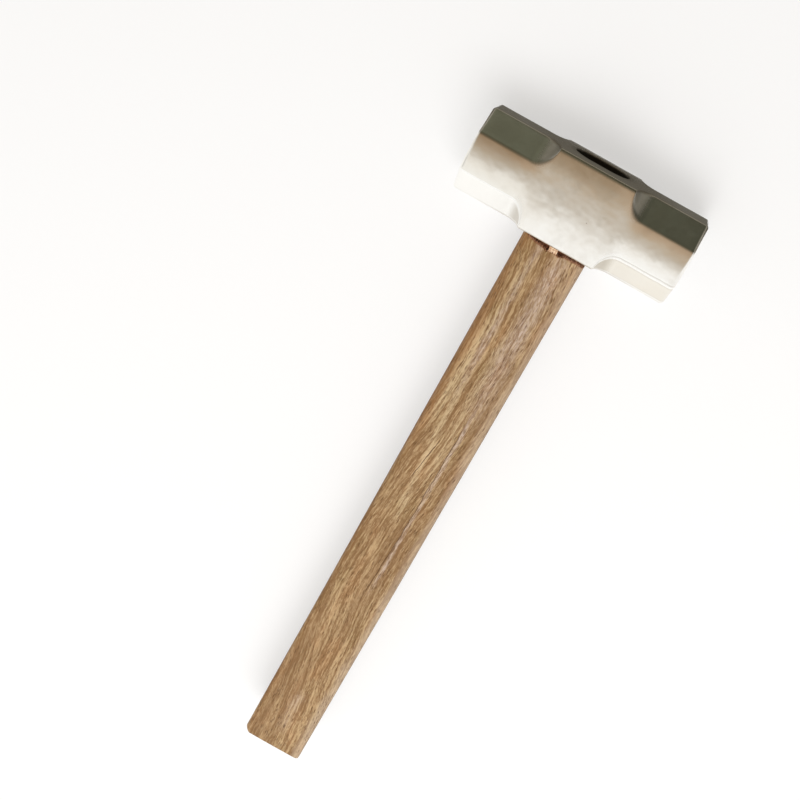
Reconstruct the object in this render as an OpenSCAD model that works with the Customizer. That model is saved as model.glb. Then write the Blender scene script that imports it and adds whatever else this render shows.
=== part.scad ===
// Two-faced octagonal brass hammer with a straight wooden handle, lying on its side.
// X runs along the head, from striking face to striking face. The handle runs towards -Y.
// The origin is the centre of the cheek that the hammer lies on. Sizes are in millimetres.

/* [Head] */
// Length of the head, from one striking face to the other
head_l = 126; // [100:1:150]
// Width and height of the head across its flats
head_w = 46.5; // [42:0.5:60]
// How far in from each corner a long chamfer cuts, measured along a flat
chamfer = 13; // [9:0.5:14]
// Length of the full square cheek in the middle of the head
cheek_l = 43; // [38:1:56]
// Radius of the scoop in which each chamfer runs out into the cheek
scoop_r = 10.5; // [10:0.5:16]
// Rounding along the four ridges of the cheek
ridge_r = 2.5; // [1:0.5:4]
// Bevel round each striking face
face_bevel = 1.8; // [0.4:0.1:2.5]

/* [Eye] */
// Length of the eye, along the head
eye_l = 30; // [26:0.5:34]
// Width of the eye, across the head
eye_w = 19; // [16:0.5:23]
// Bevel round the eye's upper mouth
eye_bevel = 1; // [0.4:0.1:1.5]

/* [Handle] */
// Length of the handle below its shoulder
handle_l = 353; // [250:1:450]
// Width of the handle at the shoulder, along the head
shoulder_w = 36.5; // [34:0.5:40]
// Thickness of the handle at the shoulder
shoulder_t = 27; // [25:0.5:32]
// Width of the handle at the butt
butt_w = 37.5; // [30:0.5:40]
// Thickness of the handle at the butt
butt_t = 26; // [24:0.5:32]
// Rounding of the handle's long edges
handle_r = 5; // [4:0.5:9]
// Rounding-over of the butt's rim and of the shoulder's rim
rim_ease = 1.5; // [0.5:0.5:3]
// Gap between the handle's shoulder and the underside of the head
shoulder_gap = 1.5; // [0.5:0.1:3]
// How far the tenon's end grain lies below the eye's mouth
tenon_drop = 4; // [2:0.5:8]
// Clearance round the tenon in the eye
tenon_fit = 0.1; // [0.05:0.05:0.3]

/* [Wooden wedge] */
// Thickness of the wooden wedge at the tenon's end grain
wood_wedge_t = 5.5; // [4:0.5:7]
// Thickness of the wooden wedge at its tip
wood_wedge_tip = 1; // [0.6:0.2:2]
// How deep the wooden wedge goes into the tenon
wood_wedge_l = 32; // [24:1:38]

/* [Steel wedges] */
// Thickness of a steel wedge at the tenon's end grain
steel_wedge_t = 3; // [2:0.5:4]
// Thickness of a steel wedge at its tip
steel_wedge_tip = 0.8; // [0.4:0.2:1.4]
// How deep a steel wedge goes into the tenon
steel_wedge_l = 22; // [14:1:26]
// Wood left between a steel wedge's side and the wall of the eye
steel_wedge_edge = 2.5; // [1.5:0.5:4]

/* [Wedge fit] */
// How far the wedges stand proud of the tenon's end grain
wedge_proud = 0.8; // [0:0.1:1.5]
// Clearance round each wedge in its slot
wedge_fit = 0.05; // [0.02:0.01:0.2]

/* [Hidden] */

// Segments on the arcs that stay true curves, and on the handle's shell
arc_fn = 96;
shell_fn = 32;
// How far a cutter reaches past what it cuts
past = 5;
// Thickness of the slices that span the handle's shell
slice = 0.1;

// Half of the head's width, which is also the height of its axis over the face it lies on
half_w = head_w / 2;
// Distance from the head's axis to a sharp corner, and to the flat of a chamfer
corner_reach = half_w * sqrt(2);
chamfer_depth = chamfer / sqrt(2);
chamfer_reach = corner_reach - chamfer_depth;
// Length of a scoop along the head, and the distance from the middle at which a chamfer is flat
scoop_run = sqrt(2 * scoop_r * chamfer_depth - pow(chamfer_depth, 2));
flat_start = cheek_l / 2 + scoop_run;
// Plane of the tenon's end grain, and of the handle's shoulder
grain_y = half_w - tenon_drop;
shoulder_y = -half_w - shoulder_gap;
// Distance of each steel wedge from the middle: the centres of the eye's round ends
steel_wedge_x = (eye_l - eye_w) / 2;
steel_wedge_w = eye_w - 2 * steel_wedge_edge;

head_colour = [0.86, 0.83, 0.76];
handle_colour = [0.70, 0.55, 0.38];
wood_wedge_colour = [0.80, 0.68, 0.50];
steel_colour = [0.45, 0.45, 0.46];

// Lifts what is drawn about the head's axis to its height over the face it lies on
module on_axis() {
  translate([0, 0, half_w]) children();
}

// Square of side w with rounded corners, made of true arcs
module rounded_square(w, r) {
  square([w, w - 2 * r], center = true);
  square([w - 2 * r, w], center = true);
  for (x = [-1, 1], y = [-1, 1])
    translate([x * (w / 2 - r), y * (w / 2 - r)]) circle(r = r, $fn = arc_fn);
}

// Oblong with half-round ends, l long and w wide
module oblong(l, w) {
  square([l - w, w], center = true);
  for (x = [-1, 1])
    translate([x * (l - w) / 2, 0]) circle(d = w, $fn = arc_fn);
}

// What a chamfer takes away at one end: along x from the middle, and outwards from the axis
module chamfer_profile() {
  translate([flat_start, chamfer_reach])
    square([head_l / 2 - flat_start + past, chamfer_depth + past]);
  translate([flat_start, chamfer_reach + scoop_r]) circle(r = scoop_r, $fn = arc_fn);
}

// The eight chamfer cuts, four at each end
module chamfer_cuts() {
  for (end = [0, 1], turn = [45:90:315])
    mirror([end, 0, 0]) rotate([turn, 0, 0]) rotate([90, 0, 0])
      linear_extrude(height = head_w, center = true) chamfer_profile();
}

// The bevels round both striking faces, one on each flat and each chamfer
module face_bevel_cuts() {
  for (end = [0, 1], side = [0:7])
    mirror([end, 0, 0]) rotate([side * 45, 0, 0])
      translate([head_l / 2, 0, side % 2 == 0 ? half_w : chamfer_reach])
        rotate([0, 45, 0]) cube([face_bevel * sqrt(2), head_w, face_bevel * sqrt(2)], center = true);
}

// The bevel round the eye's upper mouth: a slope along each side and a cone round each end
module eye_mouth_cut() {
  mouth_w = eye_w / 2 + eye_bevel;
  rotate([0, 90, 0]) linear_extrude(height = eye_l - eye_w, center = true)
    polygon([
      [-eye_w / 2, half_w - eye_bevel],
      [eye_w / 2, half_w - eye_bevel],
      [mouth_w, half_w],
      [-mouth_w, half_w]
    ]);
  for (x = [-1, 1])
    translate([x * (eye_l - eye_w) / 2, half_w - eye_bevel, 0]) rotate([-90, 0, 0])
      cylinder(h = eye_bevel, r1 = eye_w / 2, r2 = mouth_w, $fn = arc_fn);
}

// The eye, through the head from top to underside
module eye_cut() {
  rotate([90, 0, 0]) linear_extrude(height = head_w + 2 * past, center = true) oblong(eye_l, eye_w);
  eye_mouth_cut();
}

// Square bar whose long edges are chamfered away at both ends
module hammer_head() {
  color(head_colour) on_axis() difference() {
    rotate([0, 90, 0]) linear_extrude(height = head_l, center = true) rounded_square(head_w, ridge_r);
    chamfer_cuts();
    face_bevel_cuts();
    eye_cut();
  }
}

// Thin slice of the handle at the distance y, w wide and t thick
module handle_slice(y, w, t, r) {
  translate([0, y, 0]) rotate([90, 0, 0])
    for (x = [-1, 1], z = [-1, 1])
      translate([x * (w / 2 - r), z * (t / 2 - r), 0]) cylinder(r = r, h = slice, $fn = shell_fn);
}

// The part that is held: one smooth shell from the shoulder to the butt
module handle_shell() {
  butt_y = shoulder_y - handle_l + slice;
  hull() {
    handle_slice(shoulder_y, shoulder_w - rim_ease, shoulder_t - rim_ease, handle_r - rim_ease / 2);
    handle_slice(shoulder_y - rim_ease, shoulder_w, shoulder_t, handle_r);
    handle_slice(butt_y + rim_ease, butt_w, butt_t, handle_r);
    handle_slice(butt_y, butt_w - 2 * rim_ease, butt_t - 2 * rim_ease, handle_r - rim_ease);
  }
}

// The tenon, from inside the shoulder to its end grain
module tenon() {
  translate([0, grain_y, 0]) rotate([90, 0, 0])
    linear_extrude(height = grain_y - shoulder_y + past)
      oblong(eye_l - 2 * tenon_fit, eye_w - 2 * tenon_fit);
}

// Side of a wedge: tip thick at its tip, t thick at the end grain and proud of it, grown by gap
module wedge_profile(t, tip, l, proud, gap) {
  flare = (t - tip) / 2 / l;
  polygon([
    [-tip / 2 - gap, -l - gap],
    [tip / 2 + gap, -l - gap],
    [t / 2 + gap + flare * proud, proud],
    [-t / 2 - gap - flare * proud, proud]
  ]);
}

// The wooden wedge's space, along the whole length of the tenon
module wood_wedge_space(proud, gap) {
  translate([0, grain_y, 0]) rotate([0, 90, 0]) linear_extrude(height = eye_l + past, center = true)
    wedge_profile(wood_wedge_t, wood_wedge_tip, wood_wedge_l, proud, gap);
}

// The two steel wedges' spaces, across the wooden wedge
module steel_wedge_spaces(proud, gap) {
  for (side = [-1, 1])
    translate([side * steel_wedge_x, grain_y, 0])
      linear_extrude(height = steel_wedge_w + 2 * gap, center = true)
        wedge_profile(steel_wedge_t, steel_wedge_tip, steel_wedge_l, proud, gap);
}

// Straight handle with its tenon split by the wedges
module handle() {
  color(handle_colour) on_axis() difference() {
    union() {
      handle_shell();
      tenon();
    }
    wood_wedge_space(past, wedge_fit);
    steel_wedge_spaces(past, wedge_fit);
  }
}

// The wooden wedge, cut to the tenon's outline and split by the steel wedges
module wooden_wedge() {
  color(wood_wedge_colour) on_axis() difference() {
    intersection() {
      wood_wedge_space(wedge_proud, 0);
      rotate([90, 0, 0]) linear_extrude(height = 2 * head_w, center = true)
        oblong(eye_l - 2 * tenon_fit, eye_w - 2 * tenon_fit);
    }
    steel_wedge_spaces(past, wedge_fit);
  }
}

// Two steel wedges driven in across the wooden one
module steel_wedges() {
  color(steel_colour) on_axis() steel_wedge_spaces(wedge_proud, 0);
}

hammer_head();
handle();
wooden_wedge();
steel_wedges();
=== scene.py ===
# %% [markdown]
# # A polished brass hammer on a wooden handle
# The hammer lies on its side on a pale bench. Its head is one casting: a square bar whose long edges
# are chamfered at both ends, so that the striking faces are octagons and the middle stays a full square
# cheek. A straight wooden handle goes into the eye of the cheek, where one wooden and two steel wedges
# hold it. The construction is loaded first. The lengths that its boxes give are measured, and the rest
# repeat its sizes.

# %% Load the construction
import math
from functools import reduce
from operator import add, mul

import bmesh
import bpy
import numpy as np
from mathutils import Matrix, Vector, noise

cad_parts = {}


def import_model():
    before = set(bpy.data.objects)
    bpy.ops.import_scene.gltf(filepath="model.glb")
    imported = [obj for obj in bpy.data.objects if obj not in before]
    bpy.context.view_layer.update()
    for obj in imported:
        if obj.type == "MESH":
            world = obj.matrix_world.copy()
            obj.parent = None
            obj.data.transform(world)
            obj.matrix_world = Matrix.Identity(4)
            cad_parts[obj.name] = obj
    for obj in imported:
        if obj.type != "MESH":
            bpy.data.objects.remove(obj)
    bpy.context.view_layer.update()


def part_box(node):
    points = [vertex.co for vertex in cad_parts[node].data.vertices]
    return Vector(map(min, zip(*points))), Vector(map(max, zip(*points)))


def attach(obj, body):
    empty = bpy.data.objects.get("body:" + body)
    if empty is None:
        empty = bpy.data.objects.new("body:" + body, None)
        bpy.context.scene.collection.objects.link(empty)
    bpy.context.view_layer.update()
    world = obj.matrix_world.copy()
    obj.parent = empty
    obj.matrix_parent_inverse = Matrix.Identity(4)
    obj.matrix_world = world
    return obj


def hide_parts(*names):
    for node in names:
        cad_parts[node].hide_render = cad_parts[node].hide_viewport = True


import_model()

MM = 0.001
head_low, head_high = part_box("hammer_head")
handle_low, handle_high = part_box("handle")
head_l = head_high.x - head_low.x
half_w = (head_high.z - head_low.z) / 2
head_top = 2 * half_w
grain_y = handle_high.y
butt_y = handle_low.y
print("head", round(head_l / MM, 1), "long and", round(head_top / MM, 1), "across its flats")
print("handle from", round(butt_y / MM, 1), "to", round(grain_y / MM, 1), "along Y")

# %% [markdown]
# ## The camera
# The picture was taken from almost straight above the head, with the handle running away to the lower
# left. A camera is a place, a direction and a roll. The place and its aim are real sizes, and the roll
# comes from a line on the bench that runs up the picture. The lens follows from the focal length in
# picture points, because a sensor that is as wide as the picture gives the same angle.

# %% Camera
PICTURE_POINTS = 800
FOCAL_POINTS = 1311.6
SENSOR_WIDTH = 36.0
CAMERA_AT = Vector((9.03, 117.36, 705.3)) * MM
LOOKS_AT = Vector((-32.89, -144.38, 23.25)) * MM
ROLL = math.radians(27.5)
NEAREST = 0.01
FARTHEST = 200


def placed(name, data):
    """A new object in the scene, for a mesh, a camera or a lamp."""
    made = bpy.data.objects.new(name, data)
    bpy.context.scene.collection.objects.link(made)
    return made


def make_camera():
    """The camera, turned so that a line on the bench runs up the picture."""
    forward = (LOOKS_AT - CAMERA_AT).normalized()
    right = forward.cross(Vector((-math.sin(ROLL), math.cos(ROLL), 0))).normalized()
    up = right.cross(forward)
    data = bpy.data.cameras.new("camera")
    data.sensor_width = SENSOR_WIDTH
    data.lens = FOCAL_POINTS * SENSOR_WIDTH / PICTURE_POINTS
    data.clip_start = NEAREST
    data.clip_end = FARTHEST
    camera = placed("camera", data)
    axes = Matrix((right, up, -forward)).transposed().to_4x4()
    camera.matrix_world = Matrix.Translation(CAMERA_AT) @ axes
    bpy.context.scene.camera = camera
    return camera


camera = make_camera()
away = (LOOKS_AT - CAMERA_AT).length
print("camera", round(away / MM), "from its aim, lens", round(camera.data.lens, 1))

# %% [markdown]
# ## Writing node trees as sums
# Both the shape of the head and the grain of the wood are formulas. Node trees can hold formulas, but a
# tree that is wired by hand is hard to read. So one small class lets a socket be written in a sum like
# any number, and another one keeps the tree and makes its nodes. Both serve shapes and materials.

# %% A socket that works like a number, and a sheet to lay nodes on
FULL_TURN = 2 * math.pi
RIGHT_ANGLE = math.pi / 2


def before(operation):
    """What a sign in a sum does when the socket stands before it."""
    return lambda value, other: value.sheet.math(operation, value, other)


def after(operation):
    """What a sign in a sum does when the socket stands after it."""
    return lambda value, other: value.sheet.math(operation, other, value)


class Value:
    """A socket that can stand in a sum."""

    __add__ = before("ADD")
    __radd__ = after("ADD")
    __sub__ = before("SUBTRACT")
    __rsub__ = after("SUBTRACT")
    __mul__ = before("MULTIPLY")
    __rmul__ = after("MULTIPLY")
    __truediv__ = before("DIVIDE")
    __rtruediv__ = after("DIVIDE")
    __pow__ = before("POWER")

    def __init__(self, sheet, socket):
        self.sheet = sheet
        self.socket = socket

    def do(self, operation, *others):
        return self.sheet.math(operation, self, *others)


class Sheet:
    """A node tree and short ways to add nodes to it."""

    def __init__(self, tree):
        self.tree = tree

    def node(self, kind, values=None, **settings):
        """A new node with its settings, and with a value or a link in each input that values names."""
        node = self.tree.nodes.new(kind)
        for name, value in settings.items():
            setattr(node, name, value)
        return self.feed(node, values or {})

    def feed(self, node, values):
        """Puts a value, or the link of one, into each named or numbered input."""
        for name, value in values.items():
            if isinstance(value, Value):
                self.tree.links.new(value.socket, node.inputs[name])
            else:
                node.inputs[name].default_value = value
        return node

    def out(self, node, name=0):
        return Value(self, node.outputs[name])

    def get(self, kind, values=None, **settings):
        """The first output of a new node."""
        return self.out(self.node(kind, values, **settings))

    def math(self, operation, *values):
        return self.get("ShaderNodeMath", dict(enumerate(values)), operation=operation)

    def split(self, vector):
        node = self.node("ShaderNodeSeparateXYZ", {0: vector})
        return [self.out(node, axis) for axis in range(3)]

    def join(self, x, y, z):
        return self.get("ShaderNodeCombineXYZ", {0: x, 1: y, 2: z})

    def clamp(self, value):
        return self.get("ShaderNodeClamp", {"Value": value})

    def fade(self, value, start, end):
        """A smooth step from 0 at the start to 1 at the end. It falls where the end is the lower one."""
        limits = {"Value": value, "From Min": start, "From Max": end}
        return self.get("ShaderNodeMapRange", limits, interpolation_type="SMOOTHSTEP")

    def noise(self, vector, scale, detail=2.0, roughness=0.5, distortion=0.0):
        sizes = {"Scale": scale, "Detail": detail, "Roughness": roughness, "Distortion": distortion}
        return self.get("ShaderNodeTexNoise", {"Vector": vector, **sizes})

    def cells(self, vector, scale):
        """How far a place lies from the nearest of many scattered points."""
        return self.get("ShaderNodeTexVoronoi", {"Vector": vector, "Scale": scale}, feature="F1")

    def stored(self, name):
        """A value that was stored on the points of the piece."""
        return self.out(self.node("ShaderNodeAttribute", attribute_name=name), "Fac")


def new_group(name, kind, inputs, outputs):
    """A new node group: its sheet, its inputs by name and its output node."""
    tree = bpy.data.node_groups.new(name, kind)
    for title, start in inputs.items():
        number = "NodeSocketInt" if isinstance(start, int) else "NodeSocketFloat"
        socket = start if isinstance(start, str) else number
        made = tree.interface.new_socket(name=title, in_out="INPUT", socket_type=socket)
        if not isinstance(start, str):
            made.default_value = start
    for title, socket in outputs.items():
        tree.interface.new_socket(name=title, in_out="OUTPUT", socket_type=socket)
    sheet = Sheet(tree)
    entry = sheet.node("NodeGroupInput")
    given = {title: sheet.out(entry, title) for title in inputs}
    return sheet, given, sheet.node("NodeGroupOutput")


print("a sum can hold the signs + - * / and **")

# %% [markdown]
# ## The materials' names
# A tree that makes a shape also says what it is made of, so the materials exist before their nodes do.
# They are filled in further down, once the shapes are there to look at.

# %% Name the materials
FINISHES = ("polished_brass", "handle_wood", "torn_wood", "wedge_wood", "wedge_steel")
SURROUNDINGS = ("bench_top", "curved_card", "dark_sheet")
materials = {name: bpy.data.materials.new(name) for name in (*FINISHES, *SURROUNDINGS)}
for material in materials.values():
    material.use_nodes = True
print("materials:", ", ".join(materials))

# %% [markdown]
# ## The head
# The real head is cast, milled and then polished on a belt, which leaves flats that are slightly
# crowned and edges that are soft. It could be a box with bevels, but the scooped ends of the chamfers
# run into the ridges of the cheek, and bevels break there. A formula has no such trouble: in every
# direction from the axis the surface is the nearest of four flats and four chamfers, and a smooth
# minimum rounds the edge between them. Geometry Nodes bend a flat grid to that formula. Its first and
# last rows close on the striking faces.

# %% Sizes of the head
chamfer = 13 * MM
cheek_l = 43 * MM
scoop_r = 10.5 * MM
CROWN_MAKES_UP = 0.4 * MM
chamfer_depth = chamfer / math.sqrt(2)
chamfer_reach = half_w * math.sqrt(2) - chamfer_depth
flat_start = cheek_l / 2 + math.sqrt(2 * scoop_r * chamfer_depth - chamfer_depth**2)
head_sizes = {
    "Length": head_l,
    "Half width": half_w,
    "Chamfer reach": chamfer_reach - CROWN_MAKES_UP,
    "Flat start": flat_start,
    "Scoop radius": scoop_r,
    "Ridge blend": 3.4 * MM,
    "Edge blend": 0.9 * MM,
    "Scoop blend": 2.2 * MM,
    "Rim radius": 1.7 * MM,
    "Face crown": 0.8 * MM,
    "Cheek crown": 1.15 * MM,
    "Side crown": 3.5 * MM,
    "Top crown": 0.2 * MM,
    "Chamfer crown": 0.3 * MM,
    "Wobble": 0.16 * MM,
    "Eye length": 30 * MM,
    "Eye width": 19 * MM,
    "Mouth radius": 1.0 * MM,
    "Rows": 236,
    "Columns": 320,
}
print("chamfers are flat from", round(flat_start / MM, 1), "to the striking faces")

# %% A grid that closes on itself
SIDE_SHARE = 0.84
RIM_SHARE = 0.91
WELD = 0.002 * MM


def unrolled_grid(sheet, rows, columns):
    """A flat grid, one unit wide and long, and its two places as values from -0.5 to 0.5."""
    grid = sheet.get("GeometryNodeMeshGrid", {"Vertices X": rows, "Vertices Y": columns})
    u, v, _ = sheet.split(sheet.get("GeometryNodeInputPosition"))
    return grid, u, v


def closed_run(sheet, u):
    """Splits the way from the middle to a pole into the side, the rim's quarter turn and the cap."""
    run = u.do("ABSOLUTE") * 2
    along = sheet.clamp(run / SIDE_SHARE)
    turn = sheet.clamp((run - SIDE_SHARE) / (RIM_SHARE - SIDE_SHARE)) * RIGHT_ANGLE
    cap = sheet.clamp((1 - run) / (1 - RIM_SHARE))
    return along, turn, cap


def bent_grid(sheet, grid, place):
    """Moves the grid's points to their places and welds its seam and its poles."""
    moved = sheet.get("GeometryNodeSetPosition", {"Geometry": grid, "Position": place})
    return sheet.get("GeometryNodeMergeByDistance", {"Geometry": moved, "Distance": WELD})


def tagged(sheet, geometry, values):
    """Stores values on the points by name, for the material to read."""
    for name, value in values.items():
        given = {"Geometry": geometry, "Name": name, "Value": value}
        settings = {"data_type": "FLOAT", "domain": "POINT"}
        geometry = sheet.get("GeometryNodeStoreNamedAttribute", given, **settings)
    return geometry


print("a grid's side is", SIDE_SHARE, "of its way to a pole, and its rim ends at", RIM_SHARE)

# %% The bar's formula
CROWDING = 0.35
ROUND_RIM = 0.5
LEAST_COSINE = 0.2
MOST_TANGENT = 1.15
SLOW_WAVES = (55.0, 1.0, 0.4)
QUICK_WAVES = (190.0, 1.0, 0.5)
QUICK_SHARE = 0.16
EDGE_NEARNESS_WIDTH = 2.2 * MM
HOLLOW_DEPTH = (0.05, 0.6)
HOLLOW_EDGE = (-3.5 * MM, 1.0 * MM)


def section(sheet, size, distance, across, upward):
    """How far flats and chamfers lie from the axis, the rounded nearest of them, and the scoop."""
    on_cheek = sheet.fade(distance, flat_start, cheek_l / 2)
    side_crown = size["Side crown"] + (size["Cheek crown"] - size["Side crown"]) * on_cheek

    def flat(facing, aside, crown):
        """Distance to a crowned flat, in a direction with one cosine towards it and one along it."""
        least = facing.do("MAXIMUM", LEAST_COSINE)
        tangent = (aside / least).do("MINIMUM", MOST_TANGENT)
        return (size["Half width"] - crown * tangent * tangent) / least

    top = flat(across, upward, size["Top crown"])
    flats = top.do("SMOOTH_MIN", flat(upward, across, side_crown), size["Ridge blend"])
    scoop = sheet.clamp((size["Flat start"] - distance) / size["Scoop radius"])
    reach = size["Chamfer reach"] + size["Scoop radius"] * (1 - (1 - scoop * scoop).do("SQRT"))
    askew = (upward - across) / (upward + across)
    facing = (upward + across) / math.sqrt(2)
    chamfers = (reach - size["Chamfer crown"] * askew * askew) / facing
    radius = flats.do("SMOOTH_MIN", chamfers, size["Edge blend"] + size["Scoop blend"] * scoop)
    return flats, chamfers, radius, scoop


def head_body(sheet, size):
    """The octagonal bar with its cheek, before the eye is cut."""
    grid, u, v = unrolled_grid(sheet, size["Rows"], size["Columns"])
    along, turn, cap = closed_run(sheet, u)
    rim = size["Rim radius"]
    crown = size["Face crown"]
    crowded = along + (along * FULL_TURN).do("SINE") * (CROWDING / FULL_TURN)
    distance = (size["Length"] / 2 - crown - rim) * crowded
    slope = turn / RIGHT_ANGLE
    outward = slope + (turn.do("SINE") - slope) * ROUND_RIM
    inward = slope + (1 - turn.do("COSINE") - slope) * ROUND_RIM
    signed_x = (distance + rim * outward + crown * (1 - cap * cap)) * u.do("SIGN")

    angle = v * FULL_TURN
    cosine = angle.do("COSINE")
    sine = angle.do("SINE")
    cosines = cosine.do("ABSOLUTE"), sine.do("ABSOLUTE")
    flats, chamfers, radius, scoop = section(sheet, size, distance, *cosines)
    place = sheet.join(signed_x, radius * cosine, radius * sine)
    waves = sheet.noise(place, *SLOW_WAVES) + sheet.noise(place, *QUICK_WAVES) * QUICK_SHARE
    radius = (radius - rim * inward - size["Wobble"] * waves) * cap

    past_edge = flats - chamfers
    edge = 1 - sheet.clamp(past_edge.do("ABSOLUTE") / EDGE_NEARNESS_WIDTH)
    # How near an edge is, which the brass uses for worn edges, a painted highlight and painted shade
    kept = tagged(sheet, grid, {
        "edge_nearness": edge.do("MAXIMUM", (turn * 2).do("SINE")),
        "hollow": sheet.fade(scoop, *HOLLOW_DEPTH) * sheet.fade(past_edge, *HOLLOW_EDGE),
        "past_edge": past_edge,
    })
    place = sheet.join(signed_x, radius * cosine, radius * sine + size["Half width"])
    return bent_grid(sheet, kept, place)


print("the bar is a smooth minimum of four flats and four chamfers")

# %% The eye's formula
EYE_PAST = 6 * MM
EYE_GRID = (160, 97)
MOUTH_START = 0.25 * MM
MOUTH_OPENING = 0.985


def eye_tool(sheet, size):
    """An oblong post through the eye that flares at both mouths, to be cut out of the head."""
    grid, u, v = unrolled_grid(sheet, *EYE_GRID)
    along, _, cap = closed_run(sheet, u)
    half = size["Half width"]
    y = along * (half + EYE_PAST)
    mouth = size["Mouth radius"]
    up = sheet.clamp((y - half + MOUTH_START + mouth) / mouth) * MOUTH_OPENING
    radius = size["Eye width"] / 2 + mouth * (1 - (1 - up * up).do("SQRT"))
    angle = v * FULL_TURN
    cosine = angle.do("COSINE")
    middle = (size["Eye length"] - size["Eye width"]) / 2 * cosine.do("SIGN")
    x = (middle + radius * cosine) * cap
    z = radius * angle.do("SINE") * cap + half
    return bent_grid(sheet, grid, sheet.join(x, y * u.do("SIGN"), z))


print("the eye's tool goes", round(EYE_PAST / MM), "past the head on both sides")


# %% The head's tree
def finished(sheet, geometry, material, exit_node):
    """Ends a tree: real geometry, smooth faces and one material."""
    real = sheet.get("GeometryNodeRealizeInstances", {"Geometry": geometry})
    smooth = sheet.get("GeometryNodeSetShadeSmooth", {"Geometry": real})
    dressed_in = sheet.get("GeometryNodeSetMaterial", {"Geometry": smooth, "Material": material})
    sheet.feed(exit_node, {"Geometry": dressed_in})


def head_tree():
    inputs = {**head_sizes, "Material": "NodeSocketMaterial"}
    outputs = {"Geometry": "NodeSocketGeometry"}
    sheet, size, exit_node = new_group("hammer_head_shape", "GeometryNodeTree", inputs, outputs)
    meshes = {"Mesh 1": head_body(sheet, size), "Mesh 2": eye_tool(sheet, size)}
    cut = sheet.get("GeometryNodeMeshBoolean", meshes, operation="DIFFERENCE", solver="EXACT")
    finished(sheet, cut, size["Material"], exit_node)
    return sheet.tree


def made_by_nodes(name, tree, material, start=None):
    """Runs a tree on a mesh and returns the result as a plain object with no modifier."""
    holder = placed(name + "_maker", start or bpy.data.meshes.new(name + "_maker"))
    maker = holder.modifiers.new("maker", "NODES")
    maker.node_group = tree
    for item in tree.interface.items_tree:
        if item.name == "Material":
            maker[item.identifier] = material
    graph = bpy.context.evaluated_depsgraph_get()
    mesh = bpy.data.meshes.new_from_object(holder.evaluated_get(graph), depsgraph=graph)
    mesh.name = name
    bpy.data.objects.remove(holder)
    return placed(name, mesh)


def checked(piece):
    """Turns a shape right side out and prints whether it is closed."""
    shape = bmesh.new()
    shape.from_mesh(piece.data)
    if shape.calc_volume(signed=True) < 0:
        bmesh.ops.reverse_faces(shape, faces=shape.faces)
    open_edges = sum(1 for edge in shape.edges if len(edge.link_faces) != 2)
    shape.to_mesh(piece.data)
    triangles = sum(len(face.verts) - 2 for face in shape.faces)
    volume = shape.calc_volume() / MM**3
    print(piece.name, triangles, "triangles,", round(volume), "cubic mm,", open_edges, "open edges")
    shape.free()
    return piece


HEAD_SHARP_ANGLE = math.radians(50)
hammer_head = checked(made_by_nodes("cast_head", head_tree(), materials["polished_brass"]))
hammer_head.data.set_sharp_from_angle(angle=HEAD_SHARP_ANGLE)

# %% [markdown]
# ## The handle
# The handle is sawn from a plank, planed to a rounded oblong and cut down to a tenon that fills the
# eye. Its long sides are never quite flat, and the shoulder under the head is torn, because the fibres
# broke when the head was driven on. It could be a swept curve, but a loft gives each row of points its
# own outline, so that the tenon, the torn shoulder, the long sides and the eased butt are one skin with
# no joins.

# %% Outline of the handle
tenon_half = (14.9 * MM, 9.4 * MM)
shoulder_half = (18.25 * MM, 13.5 * MM)
butt_half = (18.75 * MM, 13.0 * MM)
handle_r = 5 * MM
butt_r = 2.6 * MM
shoulder_y = -half_w - 1.5 * MM
OUTLINE_POINTS = 232


def rounded_outline(half_x, half_z, radius, count=OUTLINE_POINTS):
    """Points of a rounded oblong, evenly spaced from the middle of its +X side, and where they face."""
    side_z, side_x, arc = half_z - radius, half_x - radius, radius * RIGHT_ANGLE
    quarter = side_z + arc + side_x
    points = np.zeros((count, 2))
    normals = np.zeros((count, 2))
    for i in range(count):
        quarters, rest = divmod(4 * i / count, 1)
        odd = int(quarters) % 2 == 1
        s = (1 - rest if odd else rest) * quarter
        turn = min(max((s - side_z) / radius, 0), RIGHT_ANGLE)
        x = side_x + radius * math.cos(turn) - max(s - side_z - arc, 0)
        z = min(s, side_z) + radius * math.sin(turn)
        sign_x = 1 if quarters in (0, 3) else -1
        sign_z = 1 if quarters < 2 else -1
        points[i] = (sign_x * x, sign_z * z)
        normals[i] = (sign_x * math.cos(turn), sign_z * math.sin(turn))
    return points, normals


def mix(a, b, share):
    return a + (b - a) * share


print("outline of", OUTLINE_POINTS, "points")

# %% Rows of the handle, from the tenon's end grain to the butt
TENON_CAP = (0.0, 0.25, 0.5, 0.7, 0.85, 0.95)
TENON_RIM = 0.4 * MM
TENON_ROWS = 26
# Painted shade: half on the tenon's end grain in the eye, full on the tenon and the torn shoulder's
# face, a little on the butt's rim
END_GRAIN_SHADE = 0.5
SHOULDER_STEPS = (0.25, 0.5, 0.75)
SHOULDER_EASE = 1.2 * MM
SHOULDER_TURNS = 5
SHOULDER_ROWS = 34
SHOULDER_ZONE = 13 * MM
LONG_ROWS = 150
BUTT_EASE = 0.7 * MM
BUTT_TURNS = 7
BUTT_RIM_SHADE = 0.3
BUTT_CAP = (0.95, 0.85, 0.7, 0.5, 0.3, 0.12, 0.0)


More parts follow.
